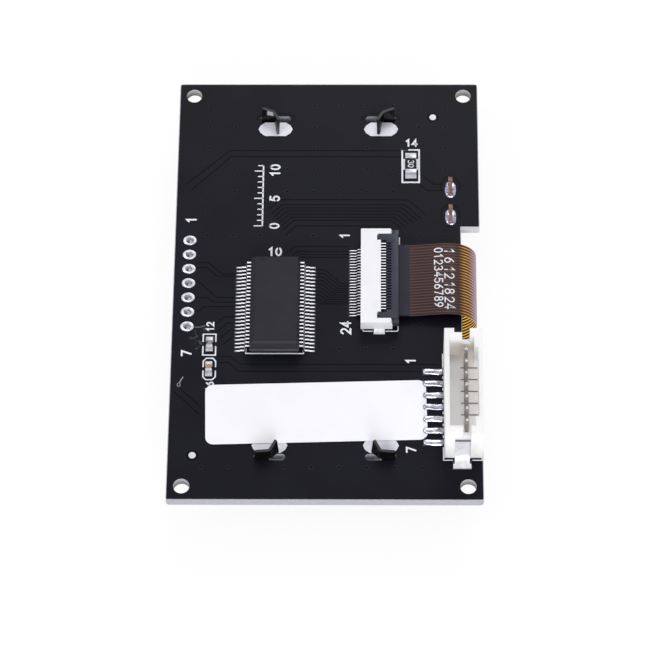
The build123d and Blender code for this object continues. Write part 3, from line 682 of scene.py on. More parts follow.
def carried(path: np.ndarray, offsets: np.ndarray, heights: np.ndarray, spread: np.ndarray) -> np.ndarray:
    """A flat profile carried along a level path.

    Each path point moves sideways by an offset times the mitre, which is the unit
    normal of the two neighbouring runs' mean direction over its cosine.

    Args:
        path: (n, 2) or (n, 3) points in millimetres.
        offsets: (m,) sideways distances of the profile's points.
        heights: (m,) heights of those points above the path.
        spread: (n,) factors on the offsets.
    Returns:
        The (n, m, 3) grid of points.
    """
    flat = path[:, :2]
    run = np.diff(flat, axis=0)
    run /= np.linalg.norm(run, axis=1, keepdims=True)
    before = np.vstack([run[:1], run])
    after = np.vstack([run, run[-1:]])
    mean = before + after
    mean /= np.linalg.norm(mean, axis=1, keepdims=True)
    mitre = np.stack([-mean[:, 1], mean[:, 0]], 1)
    mitre /= np.clip(np.sum(mean * after, axis=1, keepdims=True), 0.35, 1.0)
    grid = np.zeros((len(flat), len(offsets), 3))
    grid[..., :2] = flat[:, None] + mitre[:, None] * (offsets[None, :] * spread[:, None])[..., None]
    base = path[:, 2] if path.shape[1] > 2 else np.zeros(len(flat))
    grid[..., 2] = base[:, None] + heights[None, :]
    return grid


def rounded_ends(path: np.ndarray, width: float, steps: int = 4) -> tuple[np.ndarray, np.ndarray]:
    """Add rows at both ends of a path, where the width follows a half circle.

    A row at the angle t from the tip stands out by the cosine of t and is as wide as
    its sine.

    Args:
        path: (n, k) points.
        width: full width of the ribbon.
        steps: rows in each end.
    Returns:
        The longer path and the width factor at each of its points.
    """
    angle = np.linspace(0.2, 1.3, steps)
    out = np.cos(angle)[:, None] * width / 2
    first = (path[0] - path[1]) / np.linalg.norm(path[0] - path[1])
    last = (path[-1] - path[-2]) / np.linalg.norm(path[-1] - path[-2])
    longer = np.vstack([path[0] + first * out, path, path[-1] + last * out[::-1]])
    return longer, np.concatenate([np.sin(angle), np.ones(len(path)), np.sin(angle)[::-1]])


class MeshBook:
    """Gathers grids of points, in millimetres, into one mesh piece."""

    def __init__(self, name: str):
        """Start an empty piece."""
        self.name = name
        self.points: list[np.ndarray] = []
        self.faces: list[np.ndarray] = []
        self.count = 0

    def grid(self, grid: np.ndarray, close_u: bool = False, close_v: bool = False, cap: bool = False) -> None:
        """Add one surface, given by its grid of points.

        Args:
            grid: (n, m, 3) points; the faces look along the cross product of the first
                and the second direction.
            close_u: join the last row to the first.
            close_v: join the last column to the first.
            cap: close the first and the last row with a fan of triangles.
        """
        rows, columns = grid.shape[:2]
        index = np.arange(rows * columns).reshape(rows, columns) + self.count
        if close_u:
            index = np.vstack([index, index[:1]])
        if close_v:
            index = np.hstack([index, index[:, :1]])
        quads = np.stack([index[:-1, :-1], index[1:, :-1], index[1:, 1:], index[:-1, 1:]], -1)
        self.faces.append(quads.reshape(-1, 4))
        self.points.append(grid.reshape(-1, 3))
        self.count += rows * columns
        if cap:
            self._cap(index[0, :columns], grid[0].mean(0), False)
            self._cap(index[-1, :columns], grid[-1].mean(0), True)

    def _cap(self, ring: np.ndarray, middle: np.ndarray, flip: bool) -> None:
        """Close one ring of points with triangles to its middle."""
        following = np.roll(ring, -1)
        centre = np.full(len(ring), self.count)
        self.points.append(middle[None])
        self.count += 1
        triple = [following, ring, centre] if flip else [ring, following, centre]
        self.faces.append(np.stack(triple, -1))

    def ribbon(self, path: np.ndarray | list | tuple, width: float, low: float, thick: float) -> None:
        """Add a flat closed strip with rounded ends and eased upper edges.

        The section is a low trapezium carried along the path: four corners, of which the
        two upper ones stand a little inward.

        Args:
            path: (n, 2) or (n, 3) points.
            width: full width.
            low: height of its underside above the path.
            thick: its thickness.
        """
        longer, factor = rounded_ends(np.asarray(path, float), width)
        half = width / 2
        offsets = np.array([half, half * 0.8, -half * 0.8, -half])
        heights = np.array([low, low + thick, low + thick, low])
        grid = carried(longer, offsets, heights, factor)
        self.grid(grid[:, ::-1], close_v=True, cap=True)

    def pillow(self, outline: np.ndarray, low: float, rise: np.ndarray | float, rings: int) -> None:
        """Add a closed mound over an outline.

        Points run from the outline to its middle; the height grows as a quarter circle,
        and rise gives the full height at each point of the outline's direction.

        Args:
            outline: (n, 2) points, anticlockwise.
            low: height of the mound's foot.
            rise: a number or (n,) heights.
            rings: rows from the edge to the middle.
        """
        inward = np.linspace(0.0, 1.0, rings + 1)[:-1]
        middle = outline.mean(0)
        flat = outline[None] + (middle - outline)[None] * inward[:, None, None]
        height = np.sqrt(1 - (1 - inward) ** 2)[:, None] * np.broadcast_to(rise, len(outline))[None]
        grid = np.concatenate([flat, (low + height)[..., None]], -1)
        skirt = grid[:1].copy()
        skirt[..., 2] = low - 0.02
        whole = np.concatenate([skirt, grid])
        self.grid(np.swapaxes(whole, 0, 1), close_u=True)
        rows = len(whole)
        ring = np.arange(len(outline)) * rows + self.count - len(outline) * rows
        top = np.array([*middle, low + float(np.mean(rise))])
        self._cap(ring + rows - 1, top, False)
        self._cap(ring, np.array([*middle, low - 0.02]), True)

    def build(self, finish: Finish, slot: str, body: str = MODULE, smooth: bool = True) -> bpy.types.Object:
        """Put the gathered surfaces into a mesh object that rides on a body.

        Args:
            finish: its finish.
            slot: the record's material slot; not used.
            body: the body it moves with.
            smooth: shade it smooth.
        Returns:
            The finished piece.
        """
        points = np.concatenate(self.points) * MM
        mesh = bpy.data.meshes.new(self.name)
        mesh.from_pydata(points.tolist(), [], [face for block in self.faces for face in block.tolist()])
        mesh.polygons.foreach_set("use_smooth", np.full(len(mesh.polygons), smooth))
        mesh.validate()
        mesh.update()
        piece = bpy.data.objects.new(self.name, mesh)
        bpy.context.scene.collection.objects.link(piece)
        mesh.materials.append(finish.material())
        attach(piece, body)
        log.info("%s: %d faces", self.name, len(mesh.polygons))
        return piece


def eased_copy(node: str, finish: Finish, width: float, body: str,
               smooth: bool) -> bpy.types.Object:
    """Replace a CAD node with a copy whose edges are eased.

    Args:
        node: the CAD node.
        finish: its finish.
        width: how wide the eased edge is, in millimetres.
        body: the body it moves with.
        smooth: shade it smooth.
    Returns:
        The new piece.
    """
    piece = bpy.data.objects[node].copy()
    piece.data = piece.data.copy()
    piece.name = node + "_eased"
    piece.parent = None
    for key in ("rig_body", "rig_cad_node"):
        if key in piece:
            del piece[key]
    bpy.context.scene.collection.objects.link(piece)
    shape = bmesh.new()
    shape.from_mesh(piece.data)
    bmesh.ops.remove_doubles(shape, verts=shape.verts, dist=1e-7)
    bmesh.ops.dissolve_limit(shape, angle_limit=math.radians(0.5), verts=shape.verts, edges=shape.edges)
    shape.to_mesh(piece.data)
    shape.free()
    piece.data.materials.clear()
    piece.data.materials.append(finish.material())
    piece.data.polygons.foreach_set("use_smooth", np.full(len(piece.data.polygons), smooth))
    bevel = piece.modifiers.new("Eased edges", "BEVEL")
    bevel.width = width * MM
    bevel.segments = 2
    bevel.limit_method = "ANGLE"
    bevel.angle_limit = math.radians(28)
    bevel.harden_normals = smooth
    bevel.use_clamp_overlap = True
    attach(piece, body)
    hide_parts(node)
    log.info("%s replaces %s", piece.name, node)
    return piece


BOARD_MASK = SolderMask("board mask", 7.3, BOARD_TOP, (23.25, 36.75), (20.4, 0.17, 10.1))
TIN = Metal("tin", (0.665, 0.665, 0.745), 0.45, 0.003, 0.7, 0.92, 0.10)
END_TIN = Metal("end tin", (0.60, 0.60, 0.67), 0.32, 0.008, 1.6, 0.72, 0.22)
# painted shade: the pads' tin is made dark, as it looks in the shade between the leads
DARK_TIN = Metal("pad tin", (0.10, 0.10, 0.13), 0.45, 0.006, 2.2, 0.7)
LEAD_TIN = RowTin(
    "lead tin", (0.92, 0.92, 0.97), 0.42, 0.005, 2.6, 0.85, 0.4, middle=CHIP_MIDDLE[1], pitch=CHIP_PITCH,
    core=(0.085, 0.135),
)
CONTACT_TIN = RowTin("contact tin", (0.97, 0.97, 1.0), 0.40, 0.004, 2.6, 0.88, 0.45, core=(0.040, 0.078))
CLIP_TIN = Metal("clip tin", (0.86, 0.86, 0.90), 0.50, 0.005, 1.2, 0.88, 0.35)
POST_TIN = Metal("post tin", (0.42, 0.40, 0.39), 0.35, 0.004, 2.0, 0.75, 0.35)
RING_TIN = Metal("ring tin", (0.66, 0.66, 0.73), 0.32, 0.006, 1.4, 0.75, 0.55)
SOLDER = Metal("solder", (0.45, 0.44, 0.57), 0.15, 0.048, 1.5, 0.47)
TAIL_SOLDER = Metal("tail solder", (0.60, 0.60, 0.70), 0.20, 0.034, 2.2, 0.42, 1.0, (0.30, 1.4, 1.0))
COPPER = Metal("lamp lead", (0.22, 0.135, 0.115), 0.45, 0.012, 3.0, 0.5)
BLACK_STEEL = PaintedSteel(
    "black steel", (0.0035, 0.0035, 0.0048), (0.006, 0.006, 0.0075), 0.22, 0.003, 4.0, 0.22
)
WHITE_PLASTIC = Moulding("white plastic", (0.80, 0.80, 0.82), (0.74, 0.74, 0.77), 0.5, 0.003, 5.0)
CONNECTOR_WHITE = Moulding("connector white", (0.88, 0.88, 0.92), (0.85, 0.85, 0.89), 0.5, 0.002, 8.0, 0.3)
HEADER_WHITE = Shroud("header white", (0.92, 0.915, 0.92), (0.90, 0.89, 0.89), 0.55, 0.003, 6.0, 0.25, 1.4)
LATCH_GREY = Moulding("latch grey", (0.0310, 0.0335, 0.0510), (0.037, 0.039, 0.058), 0.40, 0.002, 8.0, 0.2)
EPOXY = ChipEpoxy("chip epoxy", (0.0130, 0.0130, 0.0190), (0.0160, 0.0160, 0.0225), 0.62, 0.010, 9.0, 0.18)
CHIP_SEAM = Moulding("chip seam", (0.150, 0.150, 0.180), (0.110, 0.110, 0.130), 0.6, 0.004, 6.0, 0.2)
DARK_GLAZE = Moulding(
    "resistor glaze", (0.0065, 0.0065, 0.008), (0.010, 0.010, 0.012), 0.36, 0.003, 5.0, 0.12
)
GREY_GLAZE = Metal("small resistor glaze", (0.26, 0.25, 0.24), 0.45, 0.006, 2.4, 0.12, 0.0)
TAN_CERAMIC = Moulding("tan ceramic", (0.42, 0.30, 0.22), (0.36, 0.25, 0.18), 0.5, 0.006, 5.0, 0.25)
GROOVE_SHADE = Moulding("header groove shade", (0.34, 0.28, 0.24), (0.27, 0.22, 0.185), 0.7, 0.003, 6.0, 0.2)
LABEL_PAPER = Moulding("label paper", (0.93, 0.93, 0.98), (0.915, 0.915, 0.965), 0.6, 0.002, 4.0, 0.2)
INK = Moulding("ink", (0.86, 0.86, 0.93), (0.78, 0.78, 0.86), 0.6, 0.004, 6.0, 0.2)
CLIP_SHADE = Moulding("clip end shade", (0.20, 0.20, 0.215), (0.15, 0.15, 0.16), 0.6, 0.004, 6.0, 0.2)
POST_SHADE = Moulding("post groove shade", (0.135, 0.118, 0.106), (0.100, 0.087, 0.078), 0.8, gloss=0.2)
GROOVE = Groove("copper gap")
FLUX = Groove("dried flux", (0.24, 0.24, 0.26))
RELIEF = Groove("covered copper", (0.016, 0.016, 0.021))
FILM = AmberFilm("amber film", 0.17, 0.5, 20.4, 12.45, (22.66, 1.76, 10.22, 4.145, 3.892))
STIFF_FILM = Moulding(
    "stiffening film", (0.0190, 0.0188, 0.0330), (0.023, 0.0225, 0.039), 0.42, 0.002, 4.0, 0.14
)
POLARISER = ClearSheet("polariser film", (0.12, 0.13, 0.11), 0.9)
CELL_GLASS = ClearSheet("cell glass", (0.62, 0.68, 0.64), 0.35)
GUIDE_PLASTIC = ClearSheet("guide plastic", (0.85, 0.87, 0.88), 0.6)

CAD_FINISHES: dict[str, Finish] = {
    "circuit_board": BOARD_MASK,
    "bezel_frame": BLACK_STEEL,
    "front_polariser": POLARISER,
    "front_glass": CELL_GLASS,
    "rear_glass": CELL_GLASS,
    "rear_polariser": POLARISER,
    "backlight_tray": WHITE_PLASTIC,
    "diffuser_sheet": WHITE_PLASTIC,
    "light_guide": GUIDE_PLASTIC,
    "reflector_sheet": WHITE_PLASTIC,
    "lamp_strip": WHITE_PLASTIC,
    "lamp_leads": COPPER,
    "lamp_solder": SOLDER,
    "flex_cable": FILM,
    "flex_stiffener": STIFF_FILM,
    "flex_connector_housing": CONNECTOR_WHITE,
    "flex_connector_contacts": CONTACT_TIN,
    "flex_connector_latch": LATCH_GREY,
    "flex_connector_tabs": CLIP_TIN,
    "header_housing": HEADER_WHITE,
    "header_pins": POST_TIN,
    "header_clips": CLIP_TIN,
    "driver_chip_body": EPOXY,
    "driver_chip_leads": LEAD_TIN,
    "resistor_small_body": GREY_GLAZE,
    "resistor_small_ends": END_TIN,
    "capacitor_body": TAN_CERAMIC,
    "capacitor_ends": END_TIN,
    "resistor_large_body": DARK_GLAZE,
    "resistor_large_ends": END_TIN,
    "lock_pads": TIN,
    "row_pads": RING_TIN,
    "chip_pads": DARK_TIN,
    "connector_pads": DARK_TIN,
    "small_pads": TIN,
    "blank_label": LABEL_PAPER,
}


def dress_nodes(nodes: dict[str, bpy.types.Object]) -> None:
    """Give every CAD node its finish."""
    for name, piece in nodes.items():
        if not piece.data.materials:
            piece.data.materials.append(None)
        for slot in piece.material_slots:
            slot.link = "OBJECT"
            slot.material = CAD_FINISHES[name].material()
        log.info("%s: %s", name, CAD_FINISHES[name].name)


@dataclass
class Mouldings:
    """The moulded bodies, as copies with eased edges.

    Attributes:
        eases: for each node its finish, slot, edge width in millimetres and body.
    """

    eases: dict[str, tuple[Finish, str, float, str]] = field(default_factory=lambda: {
        "header_housing": (HEADER_WHITE, "header", 0.09, MODULE),
        "flex_connector_housing": (CONNECTOR_WHITE, "connector_white", 0.03, MODULE),
        "flex_connector_latch": (LATCH_GREY, "latch", 0.03, LATCH),
        "driver_chip_body": (EPOXY, "chip", 0.07, MODULE),
        "resistor_small_ends": (END_TIN, "tin", 0.05, MODULE),
        "capacitor_ends": (END_TIN, "tin", 0.07, MODULE),
        "resistor_large_ends": (END_TIN, "tin", 0.05, MODULE),
    })

    def build(self) -> None:
        """Make each eased copy."""
        for node, (finish, slot, width, body) in self.eases.items():
            eased_copy(node, finish, width, body, smooth=node != "driver_chip_body")


def arc(x: float, y: float, wide: float, high: float, start: float, end: float, steps: int) -> np.ndarray:
    """Points on an oval's arc, from one angle in degrees to another."""
    angle = np.radians(np.linspace(start, end, steps))
    return np.stack([x + wide * np.cos(angle), y + high * np.sin(angle)], 1)


class StrokeFont:
    """Plain numbers drawn with a round pen, in a cell 0.62 wide and 1 high."""

    STROKES: dict[str, list[np.ndarray]] = {
        "0": [arc(0.31, 0.5, 0.29, 0.5, 90, 450, 21)],
        "1": [np.array([(0.1, 0.78), (0.34, 1.0), (0.34, 0.0)])],
        "2": [np.vstack([arc(0.31, 0.71, 0.28, 0.29, 165, -30, 9), [(0.03, 0.0), (0.6, 0.0)]])],
        "3": [arc(0.29, 0.75, 0.26, 0.25, 150, -85, 9), arc(0.29, 0.26, 0.3, 0.26, 85, -150, 10)],
        "4": [np.array([(0.45, 0.0), (0.45, 1.0), (0.02, 0.3), (0.62, 0.3)])],
        "5": [np.vstack([[(0.56, 1.0), (0.12, 1.0), (0.06, 0.56)],
                         arc(0.29, 0.32, 0.3, 0.32, 125, -150, 10)])],
        "6": [np.vstack([[(0.5, 0.98), (0.2, 0.72), (0.04, 0.42)],
                         arc(0.32, 0.3, 0.28, 0.3, 180, 520, 16)])],
        "7": [np.array([(0.02, 1.0), (0.6, 1.0), (0.22, 0.0)])],
        "8": [arc(0.31, 0.76, 0.24, 0.24, 90, 450, 15), arc(0.31, 0.26, 0.29, 0.26, 90, 450, 17)],
        "9": [np.vstack([[(0.12, 0.02), (0.42, 0.28), (0.58, 0.58)], arc(0.3, 0.7, 0.28, 0.3, 0, 340, 16)])],
    }
    STEP = 0.86

    def write(self, book: MeshBook, figures: str, place: Pair, height: float, turn: Turn,
              pen: float, low: float, thick: float, profile: np.ndarray | None = None) -> None:
        """Write a number.

        Args:
            book: the piece that takes the strokes.
            figures: the digits.
            place: the lower left corner of the first digit's cell.
            height: height of the digits.
            turn: the way they read.
            pen: width of the strokes.
            low: height of the strokes' underside.
            thick: their thickness.
            profile: (n, 2) X and height of the face they lie on, added to low.
        """
        angle = math.radians(turn.value)
        across = np.array([math.cos(angle), math.sin(angle)])
        up = np.array([-math.sin(angle), math.cos(angle)])
        for number, figure in enumerate(figures):
            for stroke in self.STROKES[figure]:
                shifted = (stroke + [number * self.STEP, 0.0]) * height
                flat = np.array(place) + shifted[:, :1] * across + shifted[:, 1:] * up
                if profile is not None:
                    flat = np.column_stack([flat, np.interp(flat[:, 0], profile[:, 0], profile[:, 1])])
                book.ribbon(flat, pen, low, thick)


@dataclass
class Print:
    """White print on the board: pin numbers, numbers beside the parts, frames and a scale.

    Attributes:
        low: height of its underside.
        thick: thickness of the ink.
        numbers: figures with place, height, turn and pen.
        lines: frame lines as (points, width).
        dash_places: the dashed line's X, first Y, step and count.
        dash: width of a dash, whose path is twice as long.
        scale_x: the scale's middle line.
        scale_y: its first and last tick.
        tick_reach: lengths of its short and its long ticks.
        pens: widths of its line, its ticks and its figures.
        figure_x: the foot of its numbers.
        figure_high: their height.
    """

    low: float = BOARD_TOP - 0.005
    thick: float = 0.03
    numbers: tuple = (
        ("1", (-20.15, 11.15), 1.35, Turn.SIDEWAYS, 0.3),
        ("7", (-20.25, -12.45), 1.35, Turn.SIDEWAYS, 0.3),
        ("12", (-16.95, -8.15), 1.0, Turn.SIDEWAYS, 0.25),
        ("14", (12.05, 25.15), 1.15, Turn.UPRIGHT, 0.29),
        ("10", (-8.9, 5.2), 1.3, Turn.UPRIGHT, 0.31),
        ("1", (3.34, 8.35), 1.3, Turn.SIDEWAYS, 0.28),
        ("24", (3.62, -8.62), 1.4, Turn.SIDEWAYS, 0.28),
        ("1", (13.3, -13.7), 1.3, Turn.SIDEWAYS, 0.28),
        ("7", (13.3, -28.8), 1.3, Turn.SIDEWAYS, 0.28),
        ("16", (-16.75, -18.5), 1.0, Turn.SIDEWAYS, 0.25),
    )
    lines: tuple = (
        (((-12.03, -11.2), (-12.03, -12.06), (-3.38, -12.06), (-3.38, -11.2)), 0.2),
        (((-18.45, -10.0), (-18.45, -8.73), (-16.55, -8.73), (-16.55, -10.0)), 0.22),
        (((-18.45, -10.9), (-18.45, -12.36), (-16.55, -12.36), (-16.55, -10.9)), 0.22),
        (((-18.33, -14.35), (-18.33, -13.4), (-17.9, -12.9),
          (-16.92, -12.9), (-16.49, -13.4), (-16.49, -14.35)), 0.22),
        (((-18.33, -15.1), (-18.33, -16.1), (-17.9, -16.58),
          (-16.92, -16.58), (-16.49, -16.1), (-16.49, -15.1)), 0.22),
        (((11.48, 24.42), (14.08, 24.42), (14.08, 18.45),
          (11.48, 18.45), (11.48, 24.42), (12.3, 24.42)), 0.28),
        (((11.75, 22.6), (11.75, 20.9)), 0.36),
        (((13.82, 22.6), (13.82, 20.9)), 0.36),
        (((5.45, -7.95), (5.60, -8.17), (6.95, -8.17)), 0.17),
        (((8.9, -8.17), (10.62, -8.17), (10.76, -8.02), (10.76, -6.4)), 0.17),
        (((11.0, 7.2), (11.0, 8.35)), 0.2),
        (((17.40, -12.13), (17.40, -14.45)), 0.17),
        (((17.40, -28.05), (17.40, -30.12), (18.75, -30.12)), 0.17),
        (((21.68, -30.12), (23.07, -30.12), (23.07, -29.55)), 0.17),
    )
    dash_places: tuple = (17.40, -16.2, -2.0, 6)
    dash: float = 0.16
    scale_x: float = -9.95
    scale_y: Pair = (10.5, 21.5)
    tick_reach: Pair = (0.75, 1.25)
    pens: Triple = (0.24, 0.2, 0.3)
    figure_x: float = -7.45
    figure_high: float = 1.35

    def build(self) -> None:
        """Write the numbers, the frames and the scale."""
        book = MeshBook("board_print")
        font = StrokeFont()
        for figures, place, height, turn, pen in self.numbers:
            font.write(book, figures, place, height, turn, pen, self.low, self.thick)
        for points, width in self.lines:
            book.ribbon(points, width, self.low, self.thick)
        x, first, step, count = self.dash_places
        for row in range(count):
            y = first + row * step
            book.ribbon([(x, y + self.dash), (x, y - self.dash)], self.dash, self.low, self.thick)
        self.ruler(book, font)
        book.build(INK, "label", smooth=False)

    def ruler(self, book: MeshBook, font: StrokeFont) -> None:
        """A millimetre scale: a long line, ticks on one side and a number at each fifth tick."""
        start, end = self.scale_y
        line, mark, pen = self.pens
        book.ribbon([(self.scale_x, start), (self.scale_x, end)], line, self.low, self.thick)
        for tick in range(int(end - start) + 1):
            long = tick % 5 == 0
            reach = self.tick_reach[long]
            y = start + tick
            book.ribbon([(self.scale_x, y), (self.scale_x - reach, y)], mark, self.low, self.thick)
            if long:
                place = (self.figure_x, y - 0.43 * len(str(tick)))
                font.write(book, str(tick), place, self.figure_high, Turn.SIDEWAYS, pen, self.low, self.thick)


@dataclass
class CablePrint:
    """Plain numbers on the flexible cable, which follow its low hump.

    Attributes:
        lines: numbers of some lines, with their places in Y.
        right: X at the foot of the line numbers.
        left: X at the foot of the row of figures.
        row: the row's first Y, its step, and its figures' height.
        height: height of the line numbers.
        pen: width of their strokes.
        between: X and height of a line between the cable's two faces.
        span: first and last X of the face that they lie on.
    """

    lines: tuple = (("1", 5.45), ("6", 3.85), ("12", 2.2), ("18", -0.5), ("24", -3.15))
    right: float = 17.85
    left: float = 16.3
    row: Triple = (5.6, -1.07, 1.2)
    height: float = 1.35
    pen: float = 0.2
    between: tuple = ((12.75, 17.6, 22.66), (9.78, 10.45, 10.22))
    span: Pair = (12.0, 21.0)

    def build(self) -> None:
        """Write both columns on the cable's upper face."""
        vertices = bpy.data.objects["flex_cable"].data.vertices
        points = np.zeros(len(vertices) * 3)
        vertices.foreach_get("co", points)
        x, _, z = points.reshape(-1, 3).T / MM
        upper = (z > np.interp(x, *self.between)) & (x > self.span[0]) & (x < self.span[1])
        profile = np.stack([x[upper], z[upper]], 1)
        profile = profile[np.argsort(profile[:, 0])]
        book = MeshBook("cable_print")
        font = StrokeFont()
        first, step, small = self.row
        figures = [(figure, (self.right, y), self.height) for figure, y in self.lines]
        figures += [(str(number), (self.left, first + step * number), small) for number in range(10)]
        for figure, place, height in figures:
            font.write(book, figure, place, height, Turn.DOWNWARD, self.pen, -0.005, 0.02, profile)
        book.build(INK, "label", smooth=False)


@dataclass
class Trim:
    """Thin trim: the chip's seam, painted shade in the header's grooves, a painted shadow on the clips' upper
    ends and a number on the resistor.

    Attributes:
        seam_z: lowest height of the seam on the chip's short sides.
        seam_h: its height.
        seam_x: where it starts and ends.
        seam_y: the two short sides.
        floor_z: height of the header's floor.
        post_groove: X, first and last Y and floor height of the groove that holds the posts, where a strip of
            painted shade lies.
        widths: of the seam, the cross grooves, the posts' groove and the clips' ends.
        groove_y: places of its cross grooves, where strips of painted shade lie.
        clip_x: first and last X of the painted shadow on the clips' upper ends.
        clip_y: Y of those ends.
        clip_z: their height.
        groove_x: first and last X of the cross grooves' two parts.
        number_place: lower left corner and face height of the resistor's number.
    """

    seam_z: float = 10.3
    seam_h: float = 0.2
    seam_x: Pair = (-11.38, -4.06)
    seam_y: Pair = (-12.325, 3.585)
    floor_z: float = 11.3
    post_groove: tuple[float, float, float, float] = (20.75, -14.1, -28.4, 10.8)
    widths: tuple[float, float, float, float] = (0.04, 0.22, 0.50, 0.28)
    groove_y: tuple = (-15.88, -17.87, -19.87, -21.88, -23.85)
    clip_x: Pair = (19.12, 21.12)
    clip_y: Pair = (-29.64, -12.86)
    clip_z: float = 13.895
    groove_x: tuple = ((20.05, 20.4), (21.1, 22.42))
    number_place: Triple = (12.38, 22.1, 9.495)

    def build(self) -> None:
        """Make each group."""
        seam, groove, slot, end_wide = self.widths
        book = MeshBook("chip_seam")
        for y in self.seam_y:
            book.ribbon([(x, y) for x in self.seam_x], seam, self.seam_z, self.seam_h)
        book.build(CHIP_SEAM, "chip", smooth=False)
        # painted shade: dark strips on the floors of the cross grooves
        book = MeshBook("header_groove_painted_shade")
        for y in self.groove_y:
            for start, end in self.groove_x:
                book.ribbon([(start, y), (end, y)], groove, self.floor_z - 0.005, 0.012)
        book.build(GROOVE_SHADE, "header", smooth=False)
        # painted shade: a dark strip on the floor of the posts' groove
        book = MeshBook("post_groove_painted_shade")
        x, first, last, floor = self.post_groove
        book.ribbon([(x, first), (x, last)], slot, floor - 0.005, 0.02)
        book.build(POST_SHADE, "header", smooth=False)
        # painted shadow: dark strips over the clips' upper ends, where the gap behind them is in shadow
        book = MeshBook("clip_end_painted_shadow")
        for y in self.clip_y:
            book.ribbon([(x, y) for x in self.clip_x], end_wide, self.clip_z, 0.10)
        book.build(CLIP_SHADE, "tin", smooth=False)
        book = MeshBook("resistor_number")
        x, y, face = self.number_place
        StrokeFont().write(book, "30", (x, y), 0.85, Turn.DOWNWARD, 0.14, face, 0.02)
        book.build(INK, "label", smooth=False)


@dataclass
class Traces:
    """Covered copper on the board: gaps beside the traces and the dots of covered holes.

    Attributes:
        low: height of the strips' underside.
        thick: their thickness.
        width: their usual width.
        single: corner points of the traces that stand alone.
        levels: Y of the bundle beside the scale.
        bundle: its right ends, left ends and slants, each as the first value and the step.
        slant: how far its left ends run on at 45 degrees.
        upper: Y and bend of the traces that run from the connector over the chip.
        ring_x: where the traces from the plated holes to the chip start.
        ring_runs: their starts, bends and ends.
        low_runs: starts of the short traces at the chip's lower left.
        chip_pads_x: ends of the chip's pads.
        connector_x: ends of the connector's pads.
        fan: Y at the chip, Y at the connector and X of the bend of the traces between them,
            each as the first value and the step.
        least_drop: a trace that drops by less is left out.
        arcs: faint arcs over the slots and the lamp's pads: X, Y, half width and half height.
        net_x: first X, end and step of the net of covered holes.
        net_y: its rows.
        low_row: Y and first X of the row at the lower edge.
        loose: covered holes off the net.
        dish: radius of a covered hole's dish.
        ring: middle radius and width of the pale ring round it.
        busy: where the net has none: X and Y, from and to.
    """

    low: float = BOARD_TOP - 0.005
    thick: float = 0.012
    width: float = 0.2
    single: tuple = (
        ((11.2, 24.3), (-15.2, 24.3), (-21.9, 18.0)),
        ((11.2, 23.15), (-15.0, 23.15), (-20.9, 17.1)),
        ((14.7, 19.7), (16.2, 18.1), (17.6, 18.1)),
        ((14.0, 18.2), (15.3, 16.95), (17.6, 16.95)),
        ((-22.6, -18.6), (-18.6, -22.6)),
        ((-21.6, -18.2), (-18.6, -21.1)),
        ((16.9, -13.9), (-12.9, -13.9), (-14.3, -12.6), (-16.2, -12.6)),
        ((16.0, -15.15), (-13.1, -15.15), (-14.6, -13.6), (-15.9, -13.6)),
    )
    levels: tuple = (15.26, 14.32, 13.76, 13.2, 12.62, 12.08, 11.5, 10.5)
    bundle: tuple = ((12.3, -0.42), (-7.3, 0.36), (2.6, -0.2))
    slant: float = 1.6
    upper: tuple = ((6.8, -4.9), (5.92, -4.5), (5.38, -4.3), (4.85, -4.1))
    ring_x: float = -19.9
    ring_runs: tuple = ((3.9, -18.0, 1.9), (3.0, -18.2, 1.5), (0.5, -19.4, -2.3), (-2.3, -18.0, -3.1),
                        (-4.7, -19.2, -3.9))
    low_runs: tuple = ((-16.9, -7.2), (-16.4, -8.3), (-15.9, -9.4), (-15.5, -10.6))
    chip_pads_x: Pair = (-13.9, -1.65)
    connector_x: float = 3.3
    fan: tuple = ((2.61, -CHIP_PITCH), (0.12, -0.39), (-0.3, -0.1))
    least_drop: float = 0.15
    arcs: tuple = ((-8.2, 30.35, 2.9, 0.95), (8.2, 30.35, 2.9, 0.95), (18.85, 17.6, 1.45, 1.9),
                   (18.85, 12.5, 1.45, 1.9))
    net_x: Triple = (-18.4, 20.0, 4.06)
    net_y: tuple = (32.7, 28.7, 24.75, 20.8, 16.75, 12.8, 8.8)
    low_row: Pair = (-31.35, -18.25)
    loose: tuple = ((1.9, -11.2), (5.95, -11.2), (10.1, -11.2), (14.15, -7.1), (1.6, 8.9))
    dish: float = 0.2
    ring: Pair = (0.31, 0.1)
    busy: tuple = ((4.0, 10.8, 8.0, 10.0), (-11.6, -6.6, 9.8, 22.4), (-9.5, -3.0, 23.0, 30.9),
                   (6.0, 11.0, 23.0, 30.9), (11, 15, 18, 26.5), (-6.5, 12.5, 9.9, 15.6))

    def build(self) -> None:
        """Make the gap strips and the dots."""
        book = MeshBook("trace_gaps")
        for path in self.paths():
            book.ribbon(path, self.width, self.low, self.thick)
        for x, y, wide, high in self.arcs:
            book.ribbon(arc(x, y, wide, high, -20, 200, 25), 0.16, self.low, self.thick)
        book.build(GROOVE, "board", smooth=False)
        self.dots()

    def paths(self) -> list:
        """Centre lines of the gaps, group by group."""
        found = list(self.single)
        for number, y in enumerate(self.levels):
            right, left, reach = (first + step * number for first, step in self.bundle)
            end = (left - self.slant, y - self.slant)
            found.append([(right + reach, y - reach), (right, y), (left, y), end])
        for y, bend in self.upper:
            found.append([(self.connector_x, y), (bend, y), (bend - 0.8, y - 0.8)])
        left, right = self.chip_pads_x
        for number in range(16):
            start, end, bend = (first + step * number for first, step in self.fan)
            drop = start - end
            if drop > self.least_drop:
                found.append([(right, start), (bend, start), (bend + drop, end), (self.connector_x, end)])
        for start, bend, end in self.ring_runs:
            found.append([(self.ring_x, start), (bend, start), (bend + abs(start - end), end), (left, end)])
        found += [[(x, y), (x + 1.5, y + 1.5), (left, y + 1.5)] for x, y in self.low_runs]
        return found

